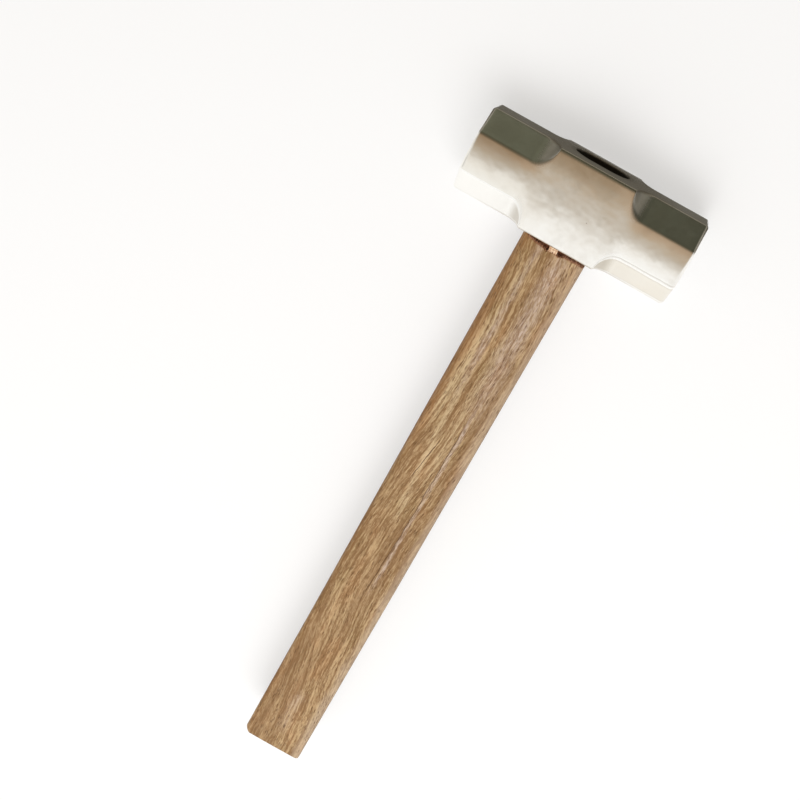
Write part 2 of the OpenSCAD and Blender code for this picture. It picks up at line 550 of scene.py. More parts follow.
def handle_rows():
    """One row per outline: Y, half sizes, radius, the share that closes a cap, and how much painted
    shade it has.
    """
    rows = [(grain_y, *tenon_half, tenon_half[1], share, END_GRAIN_SHADE) for share in TENON_CAP]
    for y in np.linspace(grain_y - TENON_RIM, shoulder_y, TENON_ROWS):
        rows.append((y, *tenon_half, tenon_half[1], 1.0, 1.0))
    for share in SHOULDER_STEPS:
        half = [mix(a, b - SHOULDER_EASE, share) for a, b in zip(tenon_half, shoulder_half)]
        rows.append((shoulder_y, *half, mix(tenon_half[1], handle_r, share), 1.0, 1.0))
    for turn in np.linspace(0, RIGHT_ANGLE, SHOULDER_TURNS):
        inset = SHOULDER_EASE * (1 - math.sin(turn))
        y = shoulder_y - SHOULDER_EASE * (1 - math.cos(turn))
        half = [side - inset for side in shoulder_half]
        rows.append((y, *half, handle_r - inset / 2, 1.0, math.cos(turn)))
    top = shoulder_y - SHOULDER_EASE
    zone_end = top - SHOULDER_ZONE
    bottom = butt_y + BUTT_EASE
    torn = np.linspace(top, zone_end, SHOULDER_ROWS)[1:]
    for y in (*torn, *np.linspace(zone_end, bottom, LONG_ROWS)[1:]):
        share = (top - y) / (top - bottom)
        half = [mix(a, b, share) for a, b in zip(shoulder_half, butt_half)]
        rows.append((y, *half, mix(handle_r, butt_r, share), 1.0, 0.0))
    for turn in np.linspace(0, RIGHT_ANGLE, BUTT_TURNS)[1:]:
        inset = BUTT_EASE * (1 - math.cos(turn))
        y = bottom - BUTT_EASE * math.sin(turn)
        half = [side - inset for side in butt_half]
        rows.append((y, *half, butt_r - inset, 1.0, BUTT_RIM_SHADE * math.sin(turn)))
    half = [side - BUTT_EASE for side in butt_half]
    rows += [(butt_y, *half, butt_r - BUTT_EASE, share, 0.0) for share in BUTT_CAP]
    return rows


print(len(handle_rows()), "rows along the handle")

# %% [markdown]
# ### Torn shoulder and planed sides
# What makes the bar look like wood is small. The sides wander by about a tenth of a millimetre, the
# surface has long shallow furrows, and the shoulder stands higher where fibres held and lower where
# they broke away. A displaced texture could do it, but here the loft's own points move, so that each
# wave has its real depth. Smooth noise with fixed places drives the moves, so they never change.

# %% How far the shoulder is torn
TORN_RIM = (
    (-19, 1.3), (-16, 0.9), (-14, 0.0), (-11, -0.9), (-8, -1.4), (-5, -1.9), (-3.4, -2.4),
    (-2.9, -3.6), (-2.4, -2.6), (-2.0, -1.9), (2.2, -1.8), (2.8, -2.6), (4.2, -2.4), (5.4, -1.9),
    (7, -1.2), (9, -0.9), (11, -1.1), (13, -0.8), (15.5, -0.9), (17, -1.5), (19, -0.7),
)
TORN_X, TORN_RISE = zip(*TORN_RIM)
BACK_WAVES = (0.35, 0.3)
BACK_SWING = 0.9
BACK_RISE = 0.15
FRONT_FADE = (8, 0.2)
COARSE_FIBRES = (0.4, 1.2, 3.0)
FINE_FIBRES = (0.22, 3.1, 9.0)
MOST_RISE = 1.38 * MM


def smooth_noise(x, y, z, seed=0.0):
    return noise.noise(Vector((x, y, z)) + Vector((seed, seed * 1.7, -seed)))


def torn_rise(x, z):
    """How far the shoulder stands above its mean plane at a place on its rim."""
    x, z = x / MM, z / MM
    front = float(np.interp(x, TORN_X, TORN_RISE))
    back = BACK_SWING * smooth_noise(x * BACK_WAVES[0], z * BACK_WAVES[1], 2.0, 5.0) + BACK_RISE
    facing = min(max(z / FRONT_FADE[0] + FRONT_FADE[1], 0), 1)
    fibres = 0
    for depth, quick, seed in (COARSE_FIBRES, FINE_FIBRES):
        fibres += depth * smooth_noise(x * quick, z * quick, 0.0, seed)
    return min(mix(back, front, facing) * MM + fibres * MM, MOST_RISE)


print("the rim is torn from", min(TORN_RISE), "to", max(TORN_RISE), "on its upper side")

# %% Wear of the handle
TORN_DEPTH = 9 * MM
JUST_ABOVE = -0.01 * MM
WANDER = 0.12 * MM
WANDER_SHIFT = 0.35
FURROW = 0.07 * MM
FINE_SHARE = 0.6
LOOSE = 0.25 * MM
SAWN = 0.12 * MM
WORN_CORNER_X = -15.2 * MM
WORN_CORNER_SLOPE = 0.95
OUT_OF_SQUARE = 0.04
WAVES = {"across": 0.03, "along": 0.016, "seed": 1.0}
FURROWS = {"across": 1.1, "along": 0.02, "seed": 7.0, "slant": 0.06}
FINE_FURROWS = {"across": 2.9, "along": 0.05, "seed": 11.0, "slant": 0.17}
LOOSE_WAVES = {"across": 0.8, "along": 0.2, "seed": 13.0}
SAW_MARKS = {"across": 1.9, "along": 0.0, "seed": 17.0}


def bar_noise(x, y, z, across, along, seed, slant=0.0):
    """Smooth noise at a place on the bar, as quick across and along the grain as it is told."""
    x, y, z = x / MM, y / MM, z / MM
    return smooth_noise(x * across + y * slant, y * along, z * across, seed)


def worn_point(x, y, z, nx, nz, on_bar):
    """Moves one point of the bar: planed waves, furrows along the grain and the torn shoulder."""
    wave = bar_noise(x, y, z, **WAVES) - WANDER_SHIFT
    furrow = abs(bar_noise(x, y, z, **FURROWS)) + FINE_SHARE * abs(bar_noise(x, y, z, **FINE_FURROWS))
    push = WANDER * min(wave, 0) - FURROW * furrow
    below = shoulder_y - y
    if JUST_ABOVE <= below < TORN_DEPTH:
        share = (1 - below / TORN_DEPTH) ** 2
        push += LOOSE * share * bar_noise(x, y, z, **LOOSE_WAVES)
        y = y + torn_rise(x, z) * share
    cut = max(WORN_CORNER_X - x, 0) * WORN_CORNER_SLOPE + (x + butt_half[0]) * OUT_OF_SQUARE
    y = max(y, butt_y + cut)
    return x + nx * push * on_bar, y, z + nz * push * on_bar


def loft_handle():
    points = []
    for y, half_x, half_z, radius, share, _ in handle_rows():
        if share == 0.0:
            points.append([(0.0, y, half_w)])
            continue
        on_bar = 1.0 if half_x > tenon_half[0] and share == 1.0 else 0.0
        row = []
        for (x, z), (nx, nz) in zip(*rounded_outline(half_x, half_z, radius)):
            px, py, pz = worn_point(x * share, y, z * share, nx, nz, on_bar)
            if y in (grain_y, butt_y):
                py -= SAWN * abs(bar_noise(px, py, pz, **SAW_MARKS)) * (1 if y == grain_y else -1)
            row.append((px, py, pz + half_w))
        points.append(row)
    return points


def as_mesh(name, shape):
    """A plain mesh from a shape that was built up in code, which is let go."""
    mesh = bpy.data.meshes.new(name)
    shape.to_mesh(mesh)
    shape.free()
    return mesh


def skin(name, rows, painted_shades=None):
    """A closed mesh through rows of points, where the first and the last row are single points."""
    shape = bmesh.new()
    layer = shape.verts.layers.float.new("painted_shade") if painted_shades else None
    made = [[shape.verts.new(point) for point in row] for row in rows]
    for row, darkening in zip(made, painted_shades or ()):
        for vert in row:
            vert[layer] = darkening
    for first, second in zip(made, made[1:]):
        count = max(len(first), len(second))
        for i in range(count):
            j = (i + 1) % count
            round_trip = ((first, i), (first, j), (second, j), (second, i))
            corners = [row[k % len(row)] for row, k in round_trip]
            shape.faces.new(list(dict.fromkeys(corners)))
    mesh = as_mesh(name, shape)
    mesh.shade_smooth()
    return checked(placed(name, mesh))


planed_handle = skin("planed_handle", loft_handle(), [row[-1] for row in handle_rows()])
planed_handle.data.materials.append(materials["handle_wood"])

# %% [markdown]
# ### Splinter
# Under the head one flat splinter stands up from the shoulder, with fresh pale wood on it. It could be
# pulled out of the handle's own skin, but a separate small sheet keeps its ragged ends sharp. It is
# raised over the handle's top, and most where it broke away.

# %% The splinter
SPLINTER_X = (-2.4 * MM, 2.4 * MM)
SPLINTER_TIP = -half_w - 0.55 * MM
SPLINTER_ROOT = shoulder_y - 2.5 * MM
SPLINTER_GRID = (16, 22)
SPLINTER_BELOW = 0.9 * MM
TOP_Z = half_w + shoulder_half[1]
TIP_RAGGED = 0.55 * MM
TIP_TEETH = 2.3
TIP_SLANT = 0.25 * MM
ROOT_RAGGED = 1.1 * MM
ROOT_TEETH = 1.7
ROOT_SLANT = 0.5 * MM
RIDGES = 0.10 * MM
RIDGE_WAVES = (3.1, 0.3)
SIDE_SWAY = 0.2 * MM
LIFT = 0.55 * MM
LEAST_LIFT = 0.06 * MM
LIFT_POWER = 0.8
EDGE_SLOPE = 6
EDGE_LIFT = 0.35


def splinter_points(down, side):
    """A point of the splinter's upper side and the one below it, from its tip down and from its left."""
    x = mix(*SPLINTER_X, side)
    tip_teeth = abs(TIP_RAGGED * smooth_noise(x / MM * TIP_TEETH, 0.0, 0.0, 41.0))
    root_teeth = ROOT_RAGGED * smooth_noise(x / MM * ROOT_TEETH, 3.0, 0.0, 43.0)
    tip = SPLINTER_TIP - tip_teeth - TIP_SLANT * side
    root = SPLINTER_ROOT + root_teeth + ROOT_SLANT * side
    y = mix(tip, root, down)
    ridge = RIDGES * smooth_noise(x / MM * RIDGE_WAVES[0], y / MM * RIDGE_WAVES[1], 0.0, 47.0)
    lift = LIFT * (1 - down) ** LIFT_POWER + LEAST_LIFT
    edge = min(1.0, EDGE_SLOPE * min(side, 1 - side))
    z = TOP_Z + (lift + ridge) * mix(EDGE_LIFT, 1, edge)
    sway = SIDE_SWAY * smooth_noise(y / MM, 5.0, side, 49.0)
    return (x + sway, y, z), (x, y, TOP_Z - SPLINTER_BELOW)


def make_splinter():
    """A small closed sheet: its raised upper side, its flat underside and the wall between them."""
    shape = bmesh.new()
    last, side = [count - 1 for count in SPLINTER_GRID]
    upper, under = {}, {}
    for i in range(last + 1):
        for j in range(side + 1):
            high, low = splinter_points(i / last, j / side)
            upper[i, j] = shape.verts.new(high)
            under[i, j] = shape.verts.new(low)
    for face in (upper, under):
        for i in range(last):
            for j in range(side):
                shape.faces.new((face[i, j], face[i + 1, j], face[i + 1, j + 1], face[i, j + 1]))
    border = [(i, 0) for i in range(last)] + [(last, j) for j in range(side)]
    border += [(last - i, side) for i in range(last)] + [(0, side - j) for j in range(side)]
    for a, b in zip(border, border[1:] + border[:1]):
        shape.faces.new((upper[a], upper[b], under[b], under[a]))
    bmesh.ops.recalc_face_normals(shape, faces=shape.faces)
    return checked(placed("lifted_splinter", as_mesh("lifted_splinter", shape)))


lifted_splinter = make_splinter()

# %% [markdown]
# ### Torn fibres
# Loose fibres stick out of the torn rim. They could be drawn one by one, but they repeat, so Geometry
# Nodes set one thin blade on every point of the rim. Each blade is as long as the gap under the head is
# wide at its place, which is kept on the points as a value, and it leans a little by a fixed chance.

# %% The torn fibres
FIBRE_SIZES = {"Width": 0.16 * MM, "Least share": 0.35, "Most share": 0.95, "Lean": 0.30, "Seed": 7}
FIBRE_POINTS = 460
FIBRE_ROOT = 1.3 * MM
FIBRE_DEPTH = (0.25 * MM, 0.75 * MM)
DEPTH_STEP = 0.77
HEAD_GAP = 0.05 * MM
LEAST_ROOM = 0.25 * MM
MOST_ROOM = 1.9 * MM
BLADE = {"Vertices": 4, "Side Segments": 3, "Radius Top": 0.05, "Radius Bottom": 1.0, "Depth": 1.0}
BLADE_WIDTH = 0.6
BLADE_THICKNESS = 0.7


def rim_points():
    """A loose mesh with a point for each fibre, which keeps the room between torn rim and head."""
    points, rooms = [], []
    outline = rounded_outline(*shoulder_half, handle_r, FIBRE_POINTS)
    for i, ((x, z), (nx, nz)) in enumerate(zip(*outline)):
        depth = mix(*FIBRE_DEPTH, abs(smooth_noise(i * DEPTH_STEP, 0.0, 0.0, 53.0)))
        px, pz = x - nx * depth, z - nz * depth
        rim = shoulder_y + torn_rise(px, pz)
        room = -half_w - HEAD_GAP - rim
        under_splinter = SPLINTER_X[0] < px < SPLINTER_X[1] and z > 0
        if room > LEAST_ROOM and not under_splinter:
            points.append((px, rim - FIBRE_ROOT, pz + half_w))
            rooms.append(min(room, MOST_ROOM) + FIBRE_ROOT)
    mesh = bpy.data.meshes.new("rim_points")
    mesh.from_pydata(points, [], [])
    mesh.attributes.new("room", "FLOAT", "POINT").data.foreach_set("value", rooms)
    return mesh


def chance(sheet, kind, least, most, seed):
    """A random value on each point: the vector comes out first and the number second."""
    numbers = kind == "FLOAT"
    limits = {2: least, 3: most} if numbers else {0: least, 1: most}
    node = sheet.node("FunctionNodeRandomValue", {**limits, "Seed": seed}, data_type=kind)
    return sheet.out(node, 1 if numbers else 0)


def fibre_tree():
    inputs = {"Geometry": "NodeSocketGeometry", **FIBRE_SIZES, "Material": "NodeSocketMaterial"}
    outputs = {"Geometry": "NodeSocketGeometry"}
    sheet, size, exit_node = new_group("torn_fibres", "GeometryNodeTree", inputs, outputs)
    spots = sheet.get("GeometryNodeMeshToPoints", {"Mesh": size["Geometry"]})
    room = sheet.node("GeometryNodeInputNamedAttribute", {"Name": "room"}, data_type="FLOAT")
    room = sheet.out(room, "Attribute")
    share = chance(sheet, "FLOAT", size["Least share"], size["Most share"], size["Seed"])
    lean = size["Lean"]
    limits = sheet.join(lean * -1, lean * -1, 0.0), sheet.join(lean, lean, 0.0)
    lean_x, lean_y, _ = sheet.split(chance(sheet, "FLOAT_VECTOR", *limits, size["Seed"] + 1))
    thin = size["Width"] * BLADE_THICKNESS
    placed_blades = sheet.get("GeometryNodeInstanceOnPoints", {
        "Points": spots,
        "Instance": sheet.get("GeometryNodeMeshCone", BLADE),
        "Rotation": sheet.join(lean_x - RIGHT_ANGLE, 0.0, 0.0),
        "Scale": sheet.join(size["Width"] * (BLADE_WIDTH + share), thin, room * share),
    })
    swing = {"Instances": placed_blades, "Rotation": sheet.join(0.0, 0.0, lean_y)}
    finished(sheet, sheet.get("GeometryNodeRotateInstances", swing), size["Material"], exit_node)
    return sheet.tree


torn_fibres = made_by_nodes("torn_fibres", fibre_tree(), materials["torn_wood"], rim_points())
print("fibres:", len(torn_fibres.data.polygons), "faces")

# %% [markdown]
# ## The wedges
# A wooden wedge is hammered into the saw cut along the tenon, and two steel wedges go in across it.
# Hammering leaves marks: the wooden wedge is crushed and broomed at its top, and the steel tops are
# spread into a burr. A tapered box with a bevel would do for a clean wedge. A loft of rows can also be
# crushed and spread at its top, so that is the way here, and a copy that is a hair larger cuts the slot
# that a wedge sits in.

# %% A wedge as a loft
wood_wedge = {"thick": 5.5 * MM, "tip": 1.0 * MM, "deep": 32 * MM, "half_long": 14.9 * MM}
steel_wedge = {"thick": 3.0 * MM, "tip": 0.8 * MM, "deep": 22 * MM, "half_long": 7.0 * MM}
steel_wedge_x = 5.5 * MM
WEDGE_STEPS = 14
THIN_POINTS = 7
LONG_POINTS = 26
CAP_SHARES = {-2: 1 / 3.2, -1: 2 / 3.2}
MOST_FLARE = 0.1
BURR_DEPTH = 0.75 * MM
BURR_LUMPS = 0.8
RIM_DROP = 0.35
LUMP_WAVES = 0.7
DENT_WAVES = (0.9, 0.4)
TIP_PAST = 0.01 * MM


def wedge_outline(half_thin, half_long):
    """Once round a wedge: a thin side and a long one, and then both again on the other side."""
    turn = [(t, -1) for t in np.linspace(-1, 1, THIN_POINTS)[:-1]]
    turn += [(1, t) for t in np.linspace(-1, 1, LONG_POINTS)[:-1]]
    turn += [(-a, -b) for a, b in turn]
    return [(half_thin * a, half_long * b) for a, b in turn]


def wedge_rows(size, top, gap=0.0, burr=0.0, crush=0.0, seed=0.0):
    """Rows of a wedge from its top to its tip, thin along X and long along Z, before it is turned."""
    length = size["deep"] + top - grain_y + gap
    rows = [[(0.0, top, 0.0)]]
    for step in range(min(CAP_SHARES), WEDGE_STEPS):
        y = top - max(step, 0) / (WEDGE_STEPS - 1) * length
        deep = min(max((grain_y - y) / size["deep"], -MOST_FLARE), 1)
        half_thin = mix(size["thick"], size["tip"], deep) / 2 + gap
        spread = burr * max(0.0, 1 - (top - y) / BURR_DEPTH)
        row = []
        for px, pz in wedge_outline(half_thin + spread, size["half_long"] + gap):
            px, pz = [side * CAP_SHARES.get(step, 1) for side in (px, pz)]
            lump = smooth_noise(px / MM * LUMP_WAVES, 0.0, pz / MM * LUMP_WAVES, seed)
            dent_at = (px / MM * DENT_WAVES[0], 1.0, pz / MM * DENT_WAVES[1])
            dent = abs(smooth_noise(*dent_at, seed + 2))
            drop = crush * (dent + (RIM_DROP if step == 0 else 0.0)) if step < 1 else 0.0
            row.append((px * (1 + lump * spread / half_thin * BURR_LUMPS), y - drop, pz))
        rows.append(row)
    return [*rows, [(0.0, top - length - TIP_PAST, 0.0)]]


def set_wedge(name, size, top, side=0, **wear):
    """A wedge in its place: the wooden one along X, or a steel one across it on the side -1 or 1."""
    rows = []
    for row in wedge_rows(size, top, **wear):
        turned = [(px + side * steel_wedge_x, py, pz) if side else (pz, py, px) for px, py, pz in row]
        rows.append([(px, py, pz + half_w) for px, py, pz in turned])
    return skin(name, rows)


print("wedges go", round(wood_wedge["deep"] / MM), "and", round(steel_wedge["deep"] / MM), "deep")

# %% Cut the slots
SHARP_ANGLE = math.radians(40)
SLOT_GAP = 0.05 * MM
slot_top = grain_y + 6 * MM
slot_size = {**wood_wedge, "half_long": 17 * MM}


def carve(piece, *tools):
    """Cuts tools out of a piece and leaves a plain mesh with its sharp edges marked."""
    for tool in tools:
        cut = piece.modifiers.new("cut", "BOOLEAN")
        cut.operation = "DIFFERENCE"
        cut.solver = "EXACT"
        cut.object = tool
    graph = bpy.context.evaluated_depsgraph_get()
    mesh = bpy.data.meshes.new_from_object(piece.evaluated_get(graph), depsgraph=graph)
    piece.modifiers.clear()
    piece.data = mesh
    mesh.set_sharp_from_angle(angle=SHARP_ANGLE)
    print(piece.name, "has", len(mesh.polygons), "faces after its cuts")


wood_slot = set_wedge("wood_slot", slot_size, slot_top, gap=SLOT_GAP)
steel_slots = [set_wedge("steel_slot", steel_wedge, slot_top, side, gap=SLOT_GAP) for side in (-1, 1)]
carve(planed_handle, wood_slot, *steel_slots)

# %% Make the wedges
BROOMED = {"burr": 0.1 * MM, "crush": 0.7 * MM, "seed": 21.0}
BURRED = {"burr": 0.35 * MM, "crush": 0.3 * MM}
FIRST_STEEL_SEED = 31.0
wedge_top = grain_y + 0.8 * MM


def joined(name, finish, *objects):
    """Several objects as one piece with several solids."""
    shape = bmesh.new()
    for item in objects:
        shape.from_mesh(item.data)
    mesh = as_mesh(name, shape)
    for item in objects:
        bpy.data.objects.remove(item)
    mesh.shade_smooth()
    piece = checked(placed(name, mesh))
    piece.data.materials.append(materials[finish])
    piece.data.set_sharp_from_angle(angle=SHARP_ANGLE)
    return piece


broomed_wedge = set_wedge("broomed_wedge", wood_wedge, wedge_top, **BROOMED)
broomed_wedge.data.materials.append(materials["wedge_wood"])
carve(broomed_wedge, *steel_slots)
steel_pair = [
    set_wedge("driven_wedge", steel_wedge, wedge_top, side, seed=FIRST_STEEL_SEED + side, **BURRED)
    for side in (-1, 1)
]
for tool in (wood_slot, *steel_slots):
    bpy.data.objects.remove(tool)
driven_wedges = joined("driven_wedges", "wedge_steel", *steel_pair)
torn_shoulder = joined("torn_shoulder", "torn_wood", lifted_splinter, torn_fibres)

# %% [markdown]
# ## Effects that more than one material shares
# Two effects are used more than once, so each is a node group. The wood grain serves the handle, the
# torn wood and the wooden wedge. It could be painted on each side, but real grain goes right through a
# plank, so it is a solid pattern in space, with rings on the end grain and long streaks on the sides,
# and it has no seam.

# %% Wood grain
GRAIN_SIZES = {
    "Ring width": 3.4 * MM,
    "Pith X": 12 * MM,
    "Pith Z": -46 * MM,
    "Waviness": 0.6,
    "Bend": 5 * MM,
    "Pore share": 0.5,
}
# Each noise: its squeeze along the grain, scale, detail, roughness and, for some, distortion
GRAIN_NOISE = {
    "bend": (0.4, 75.0, 2.0, 0.55),
    "slow": (0.16, 42.0, 2.0, 0.5),
    "fine bend": (0.10, 260.0, 2.0, 0.6),
    "strand": (0.07, 740.0, 4.0, 0.68, 0.3),
    "fine": (0.20, 2000.0, 2.0, 0.6),
    "long": (0.03, 900.0, 2.0, 0.6),
    "ribbon": (0.06, 330.0, 3.0, 0.6, 0.4),
    "fibre": (0.18, 1200.0, 3.0, 0.7),
    "cloud": (0.3, 70.0, 3.0, 0.6),
    "patch": (0.2, 170.0, 2.0, 0.6),
}
RING_WAVES = 6
FINE_RING_WAVES = 0.7
RING_START = (0.0, 0.16)
RING_END = (0.75, 0.22)
STREAK_WEIGHTS = {"strand": 0.46, "fine": 0.26, "long": 0.28}
FIBRE_WEIGHTS = {"fibre": 0.7, "long": 0.3}
STREAK_FADE = (0.43, 0.57)
RIBBON_FADE = (0.38, 0.62)
FIBRE_FADE = (0.42, 0.60)
PORE_FADE = (0.36, 0.10)
PORE_SQUEEZE = 0.16
PORE_SCALE = 950.0
PORE_CROWD = (0.64, 0.76)
PORE_SPREAD = 0.3
PORES_IN_RINGS = 0.10
HEIGHTS = {"Streak": 0.4, "Fibre": 0.25, "Ring": -0.25, "Pore": -0.9}


def weighted(weights, values):
    """The sum of several values, each times its weight."""
    return reduce(add, [values[name] * weight for name, weight in weights.items()])


def grain_group():
    """Masks from 0 to 1 for rings, ribbons, streaks, fibres, pores and clouds, and the height."""
    names = ("Ring", "Ribbon", "Streak", "Fibre", "Pore", "Cloud", "Height")
    inputs = {"Place": "NodeSocketVector", **GRAIN_SIZES}
    outputs = dict.fromkeys(names, "NodeSocketFloat")
    sheet, size, exit_node = new_group("wood_grain", "ShaderNodeTree", inputs, outputs)
    x, y, z = sheet.split(size["Place"])
    across = {"x": x}

    def squeezed(squeeze):
        """The place, squeezed along the grain, so that a round pattern comes out long."""
        return sheet.join(across["x"], y * squeeze, z)

    def grain_noise(name):
        squeeze, *settings = GRAIN_NOISE[name]
        return sheet.noise(squeezed(squeeze), *settings)

    across["x"] = x + (grain_noise("bend") - 0.5) * size["Bend"]
    from_pith = ((across["x"] - size["Pith X"]) ** 2 + (z - size["Pith Z"]) ** 2).do("SQRT")
    rings = from_pith / size["Ring width"] + (grain_noise("slow") - 0.5) * size["Waviness"] * RING_WAVES
    ring = (rings + (grain_noise("fine bend") - 0.5) * FINE_RING_WAVES).do("FRACT")
    found = {name: grain_noise(name) for name in ("strand", "fine", "long", "fibre")}
    crowding = size["Pore share"] * PORE_SPREAD
    masks = {
        "Ring": sheet.fade(ring, *RING_START) * sheet.fade(ring, *RING_END),
        "Ribbon": sheet.fade(grain_noise("ribbon"), *RIBBON_FADE),
        "Streak": sheet.fade(weighted(STREAK_WEIGHTS, found), *STREAK_FADE),
        "Fibre": sheet.fade(weighted(FIBRE_WEIGHTS, found), *FIBRE_FADE),
        "Cloud": grain_noise("cloud"),
    }
    patch = grain_noise("patch") + masks["Ring"] * PORES_IN_RINGS
    crowd = sheet.fade(patch, *[limit - crowding for limit in PORE_CROWD])
    vessels = sheet.cells(squeezed(PORE_SQUEEZE), PORE_SCALE)
    masks["Pore"] = sheet.fade(vessels, *PORE_FADE) * crowd
    masks["Height"] = weighted(HEIGHTS, masks)
    sheet.feed(exit_node, masks)
    return sheet.tree


wood_grain = grain_group()
print("wood grain group:", len(wood_grain.nodes), "nodes")

# %% [markdown]
# The metal wear serves the brass and the steel: soft blotches where hands and rags have been, hair-fine
# scratches along the polish, and small pits. Bump alone could show scratches, but real wear also
# changes the gloss and the colour, so the group puts each of them out as a mask of its own.

# %% Metal wear
WEAR_SIZES = {"Blotch size": 22.0, "Scratch": 0.5, "Pit share": 0.3}
BLOTCHES = (4.0, 0.6, 0.3)
HAIR = (2600.0, 2.0, 0.7)
HAIR_LENGTH = 0.05
CROSS_HAIR = (1900.0, 2.0, 0.7)
CROSS_SLANT = (0.6, 0.5, 0.12)
HAIR_WEIGHTS = (0.7, 0.3)
PIT_SCALE = 330.0
PIT_FADE = (0.13, 0.05)
PIT_PATCHES = (120.0, 1.0, 0.5)
PIT_CROWD = (0.74, 0.80)
PIT_SPREAD = 0.2
WAVES_PER_BLOTCH = 1.3
WAVE_DETAIL = (2.0, 0.45)
SCRATCH_HEIGHT = 0.05
PIT_HEIGHT = 0.12


def wear_group():
    inputs = {"Place": "NodeSocketVector", **WEAR_SIZES}
    outputs = dict.fromkeys(("Blotch", "Scratch", "Pit", "Height"), "NodeSocketFloat")
    sheet, size, exit_node = new_group("metal_wear", "ShaderNodeTree", inputs, outputs)
    place = size["Place"]
    x, y, z = sheet.split(place)
    scale = 1 / MM / size["Blotch size"]
    hair = sheet.noise(sheet.join(x * HAIR_LENGTH, y, z), *HAIR)
    slant_x, slant_y, length = CROSS_SLANT
    cross_hair = sheet.noise(sheet.join(x * slant_x + y * slant_y, y * length, z), *CROSS_HAIR)
    scratch = (hair * HAIR_WEIGHTS[0] + cross_hair * HAIR_WEIGHTS[1]) * size["Scratch"]
    least, most = PIT_CROWD
    crowd = sheet.fade(sheet.noise(place, *PIT_PATCHES), least - size["Pit share"] * PIT_SPREAD, most)
    pit = sheet.fade(sheet.cells(place, PIT_SCALE), *PIT_FADE) * crowd
    waves = sheet.noise(place, scale * WAVES_PER_BLOTCH, *WAVE_DETAIL)
    sheet.feed(exit_node, {
        "Blotch": sheet.noise(place, scale, *BLOTCHES),
        "Scratch": scratch,
        "Pit": pit,
        "Height": waves + scratch * SCRATCH_HEIGHT - pit * PIT_HEIGHT,
    })
    return sheet.tree


metal_wear = wear_group()
print("metal wear group:", len(metal_wear.nodes), "nodes")

# %% [markdown]
# ## The finishes
# A material reads the place of each point on the piece, so that the pattern sticks to it from every
# side. Its colour is built up one layer over another, like real dirt and polish, and some layers are
# painted highlight, sheen or shade. Each layer has a name, which its node keeps, and covers a share of
# the ones below. The shader itself stays in the material.


# %% Helpers for materials
def dressed(name):
    """The sheet of a material, its shader, and the place on the piece."""
    sheet = Sheet(materials[name].node_tree)
    shader = sheet.tree.nodes["Principled BSDF"]
    return sheet, shader, sheet.out(sheet.node("ShaderNodeTexCoord"), "Object")


def use_group(sheet, tree, values):
    """Places a group in a material and returns its outputs by name."""
    node = sheet.node("ShaderNodeGroup", values, node_tree=tree)
    return {output.name: Value(sheet, output) for output in node.outputs}


# A mix node names its inputs alike for every kind of data, so those for colours go by number
MIX_SHARE = 0
MIX_UNDER = 6
MIX_OVER = 7
MIX_RESULT = 2


def layered(sheet, colour, *layers):
    """Lays tones over a colour. A layer is its name, the share that it covers and its tone."""
    for name, share, tone in layers:
        ends = [c if isinstance(c, Value) else (*c, 1.0) for c in (colour, tone)]
        values = {MIX_SHARE: share, MIX_UNDER: ends[0], MIX_OVER: ends[1]}
        mixer = sheet.node("ShaderNodeMix", values, data_type="RGBA", label=name)
        colour = sheet.out(mixer, MIX_RESULT)
    return colour


def coat(sheet, shader, values, height, depth, strength=1.0):
    """Feeds the shader and gives it a bump of a depth in metres. Returns how many nodes that took."""
    bump = {"Height": height, "Distance": depth, "Strength": strength}
    sheet.feed(shader, {**values, "Normal": sheet.get("ShaderNodeBump", bump)})
    return len(sheet.tree.nodes)


def linear(red, green, blue):
    """A colour as it looks on a screen, from 0 to 255, as the plain light that a shader works in."""
    return tuple(((c / 255 + 0.055) / 1.055) ** 2.4 for c in (red, green, blue))


def mixed(first, second, share=0.5):
    """A plain colour between two others."""
    return tuple(mix(a, b, share) for a, b in zip(first, second))


print("material helpers ready")

# %% [markdown]
# ### Polished brass
# The brass is pale and bright, brightest along its edges, partly from wear and partly from a painted
# highlight. Oil and sap have dulled it round the eye, and painted shade lies on the flats round the eye,
# on the far edge, round the eye's mouth and in the eye itself. The brown along the cheek's ridge above
# the eye and under the left chamfer is a painted reflection of shade. The near chamfers carry painted
# bright reflections and painted lines along their edges, and the scoops that a polishing belt doesn't
# reach have a little tarnish, with painted shade in them as well. A photograph could be laid on it, but
# it would fit one view only, so every mark is an area with soft limits on the head itself.

# %% Marks on the brass
EYE_WALL = 0.25 * MM
EYE_LIP = 0.02 * MM
EYE_MOUTH_DARK = 0.6
EYE_DEEP = (0.1 * MM, 1.0 * MM)
EYE_FLAT = (half_w - 1.6 * MM, half_w - 0.7 * MM)
OIL_AND_SHADE_FROM_MIDDLE = (22 * MM, 52 * MM)
OIL_AND_SHADE_RAGGED = 30 * MM
OIL_AND_SHADE_LOSS = 0.9
CLOSE_TO_EYE = 5 * MM
BROWN_LOSS = 0.7
BROWN_RAGGED = 8 * MM
NEAR_RIDGE = (8 * MM, 18 * MM)
mouth_growth = head_sizes["Mouth radius"] * (1 - math.sqrt(1 - MOUTH_OPENING**2))
mouth_half = head_sizes["Eye width"] / 2 + mouth_growth
HALF = half_w / MM
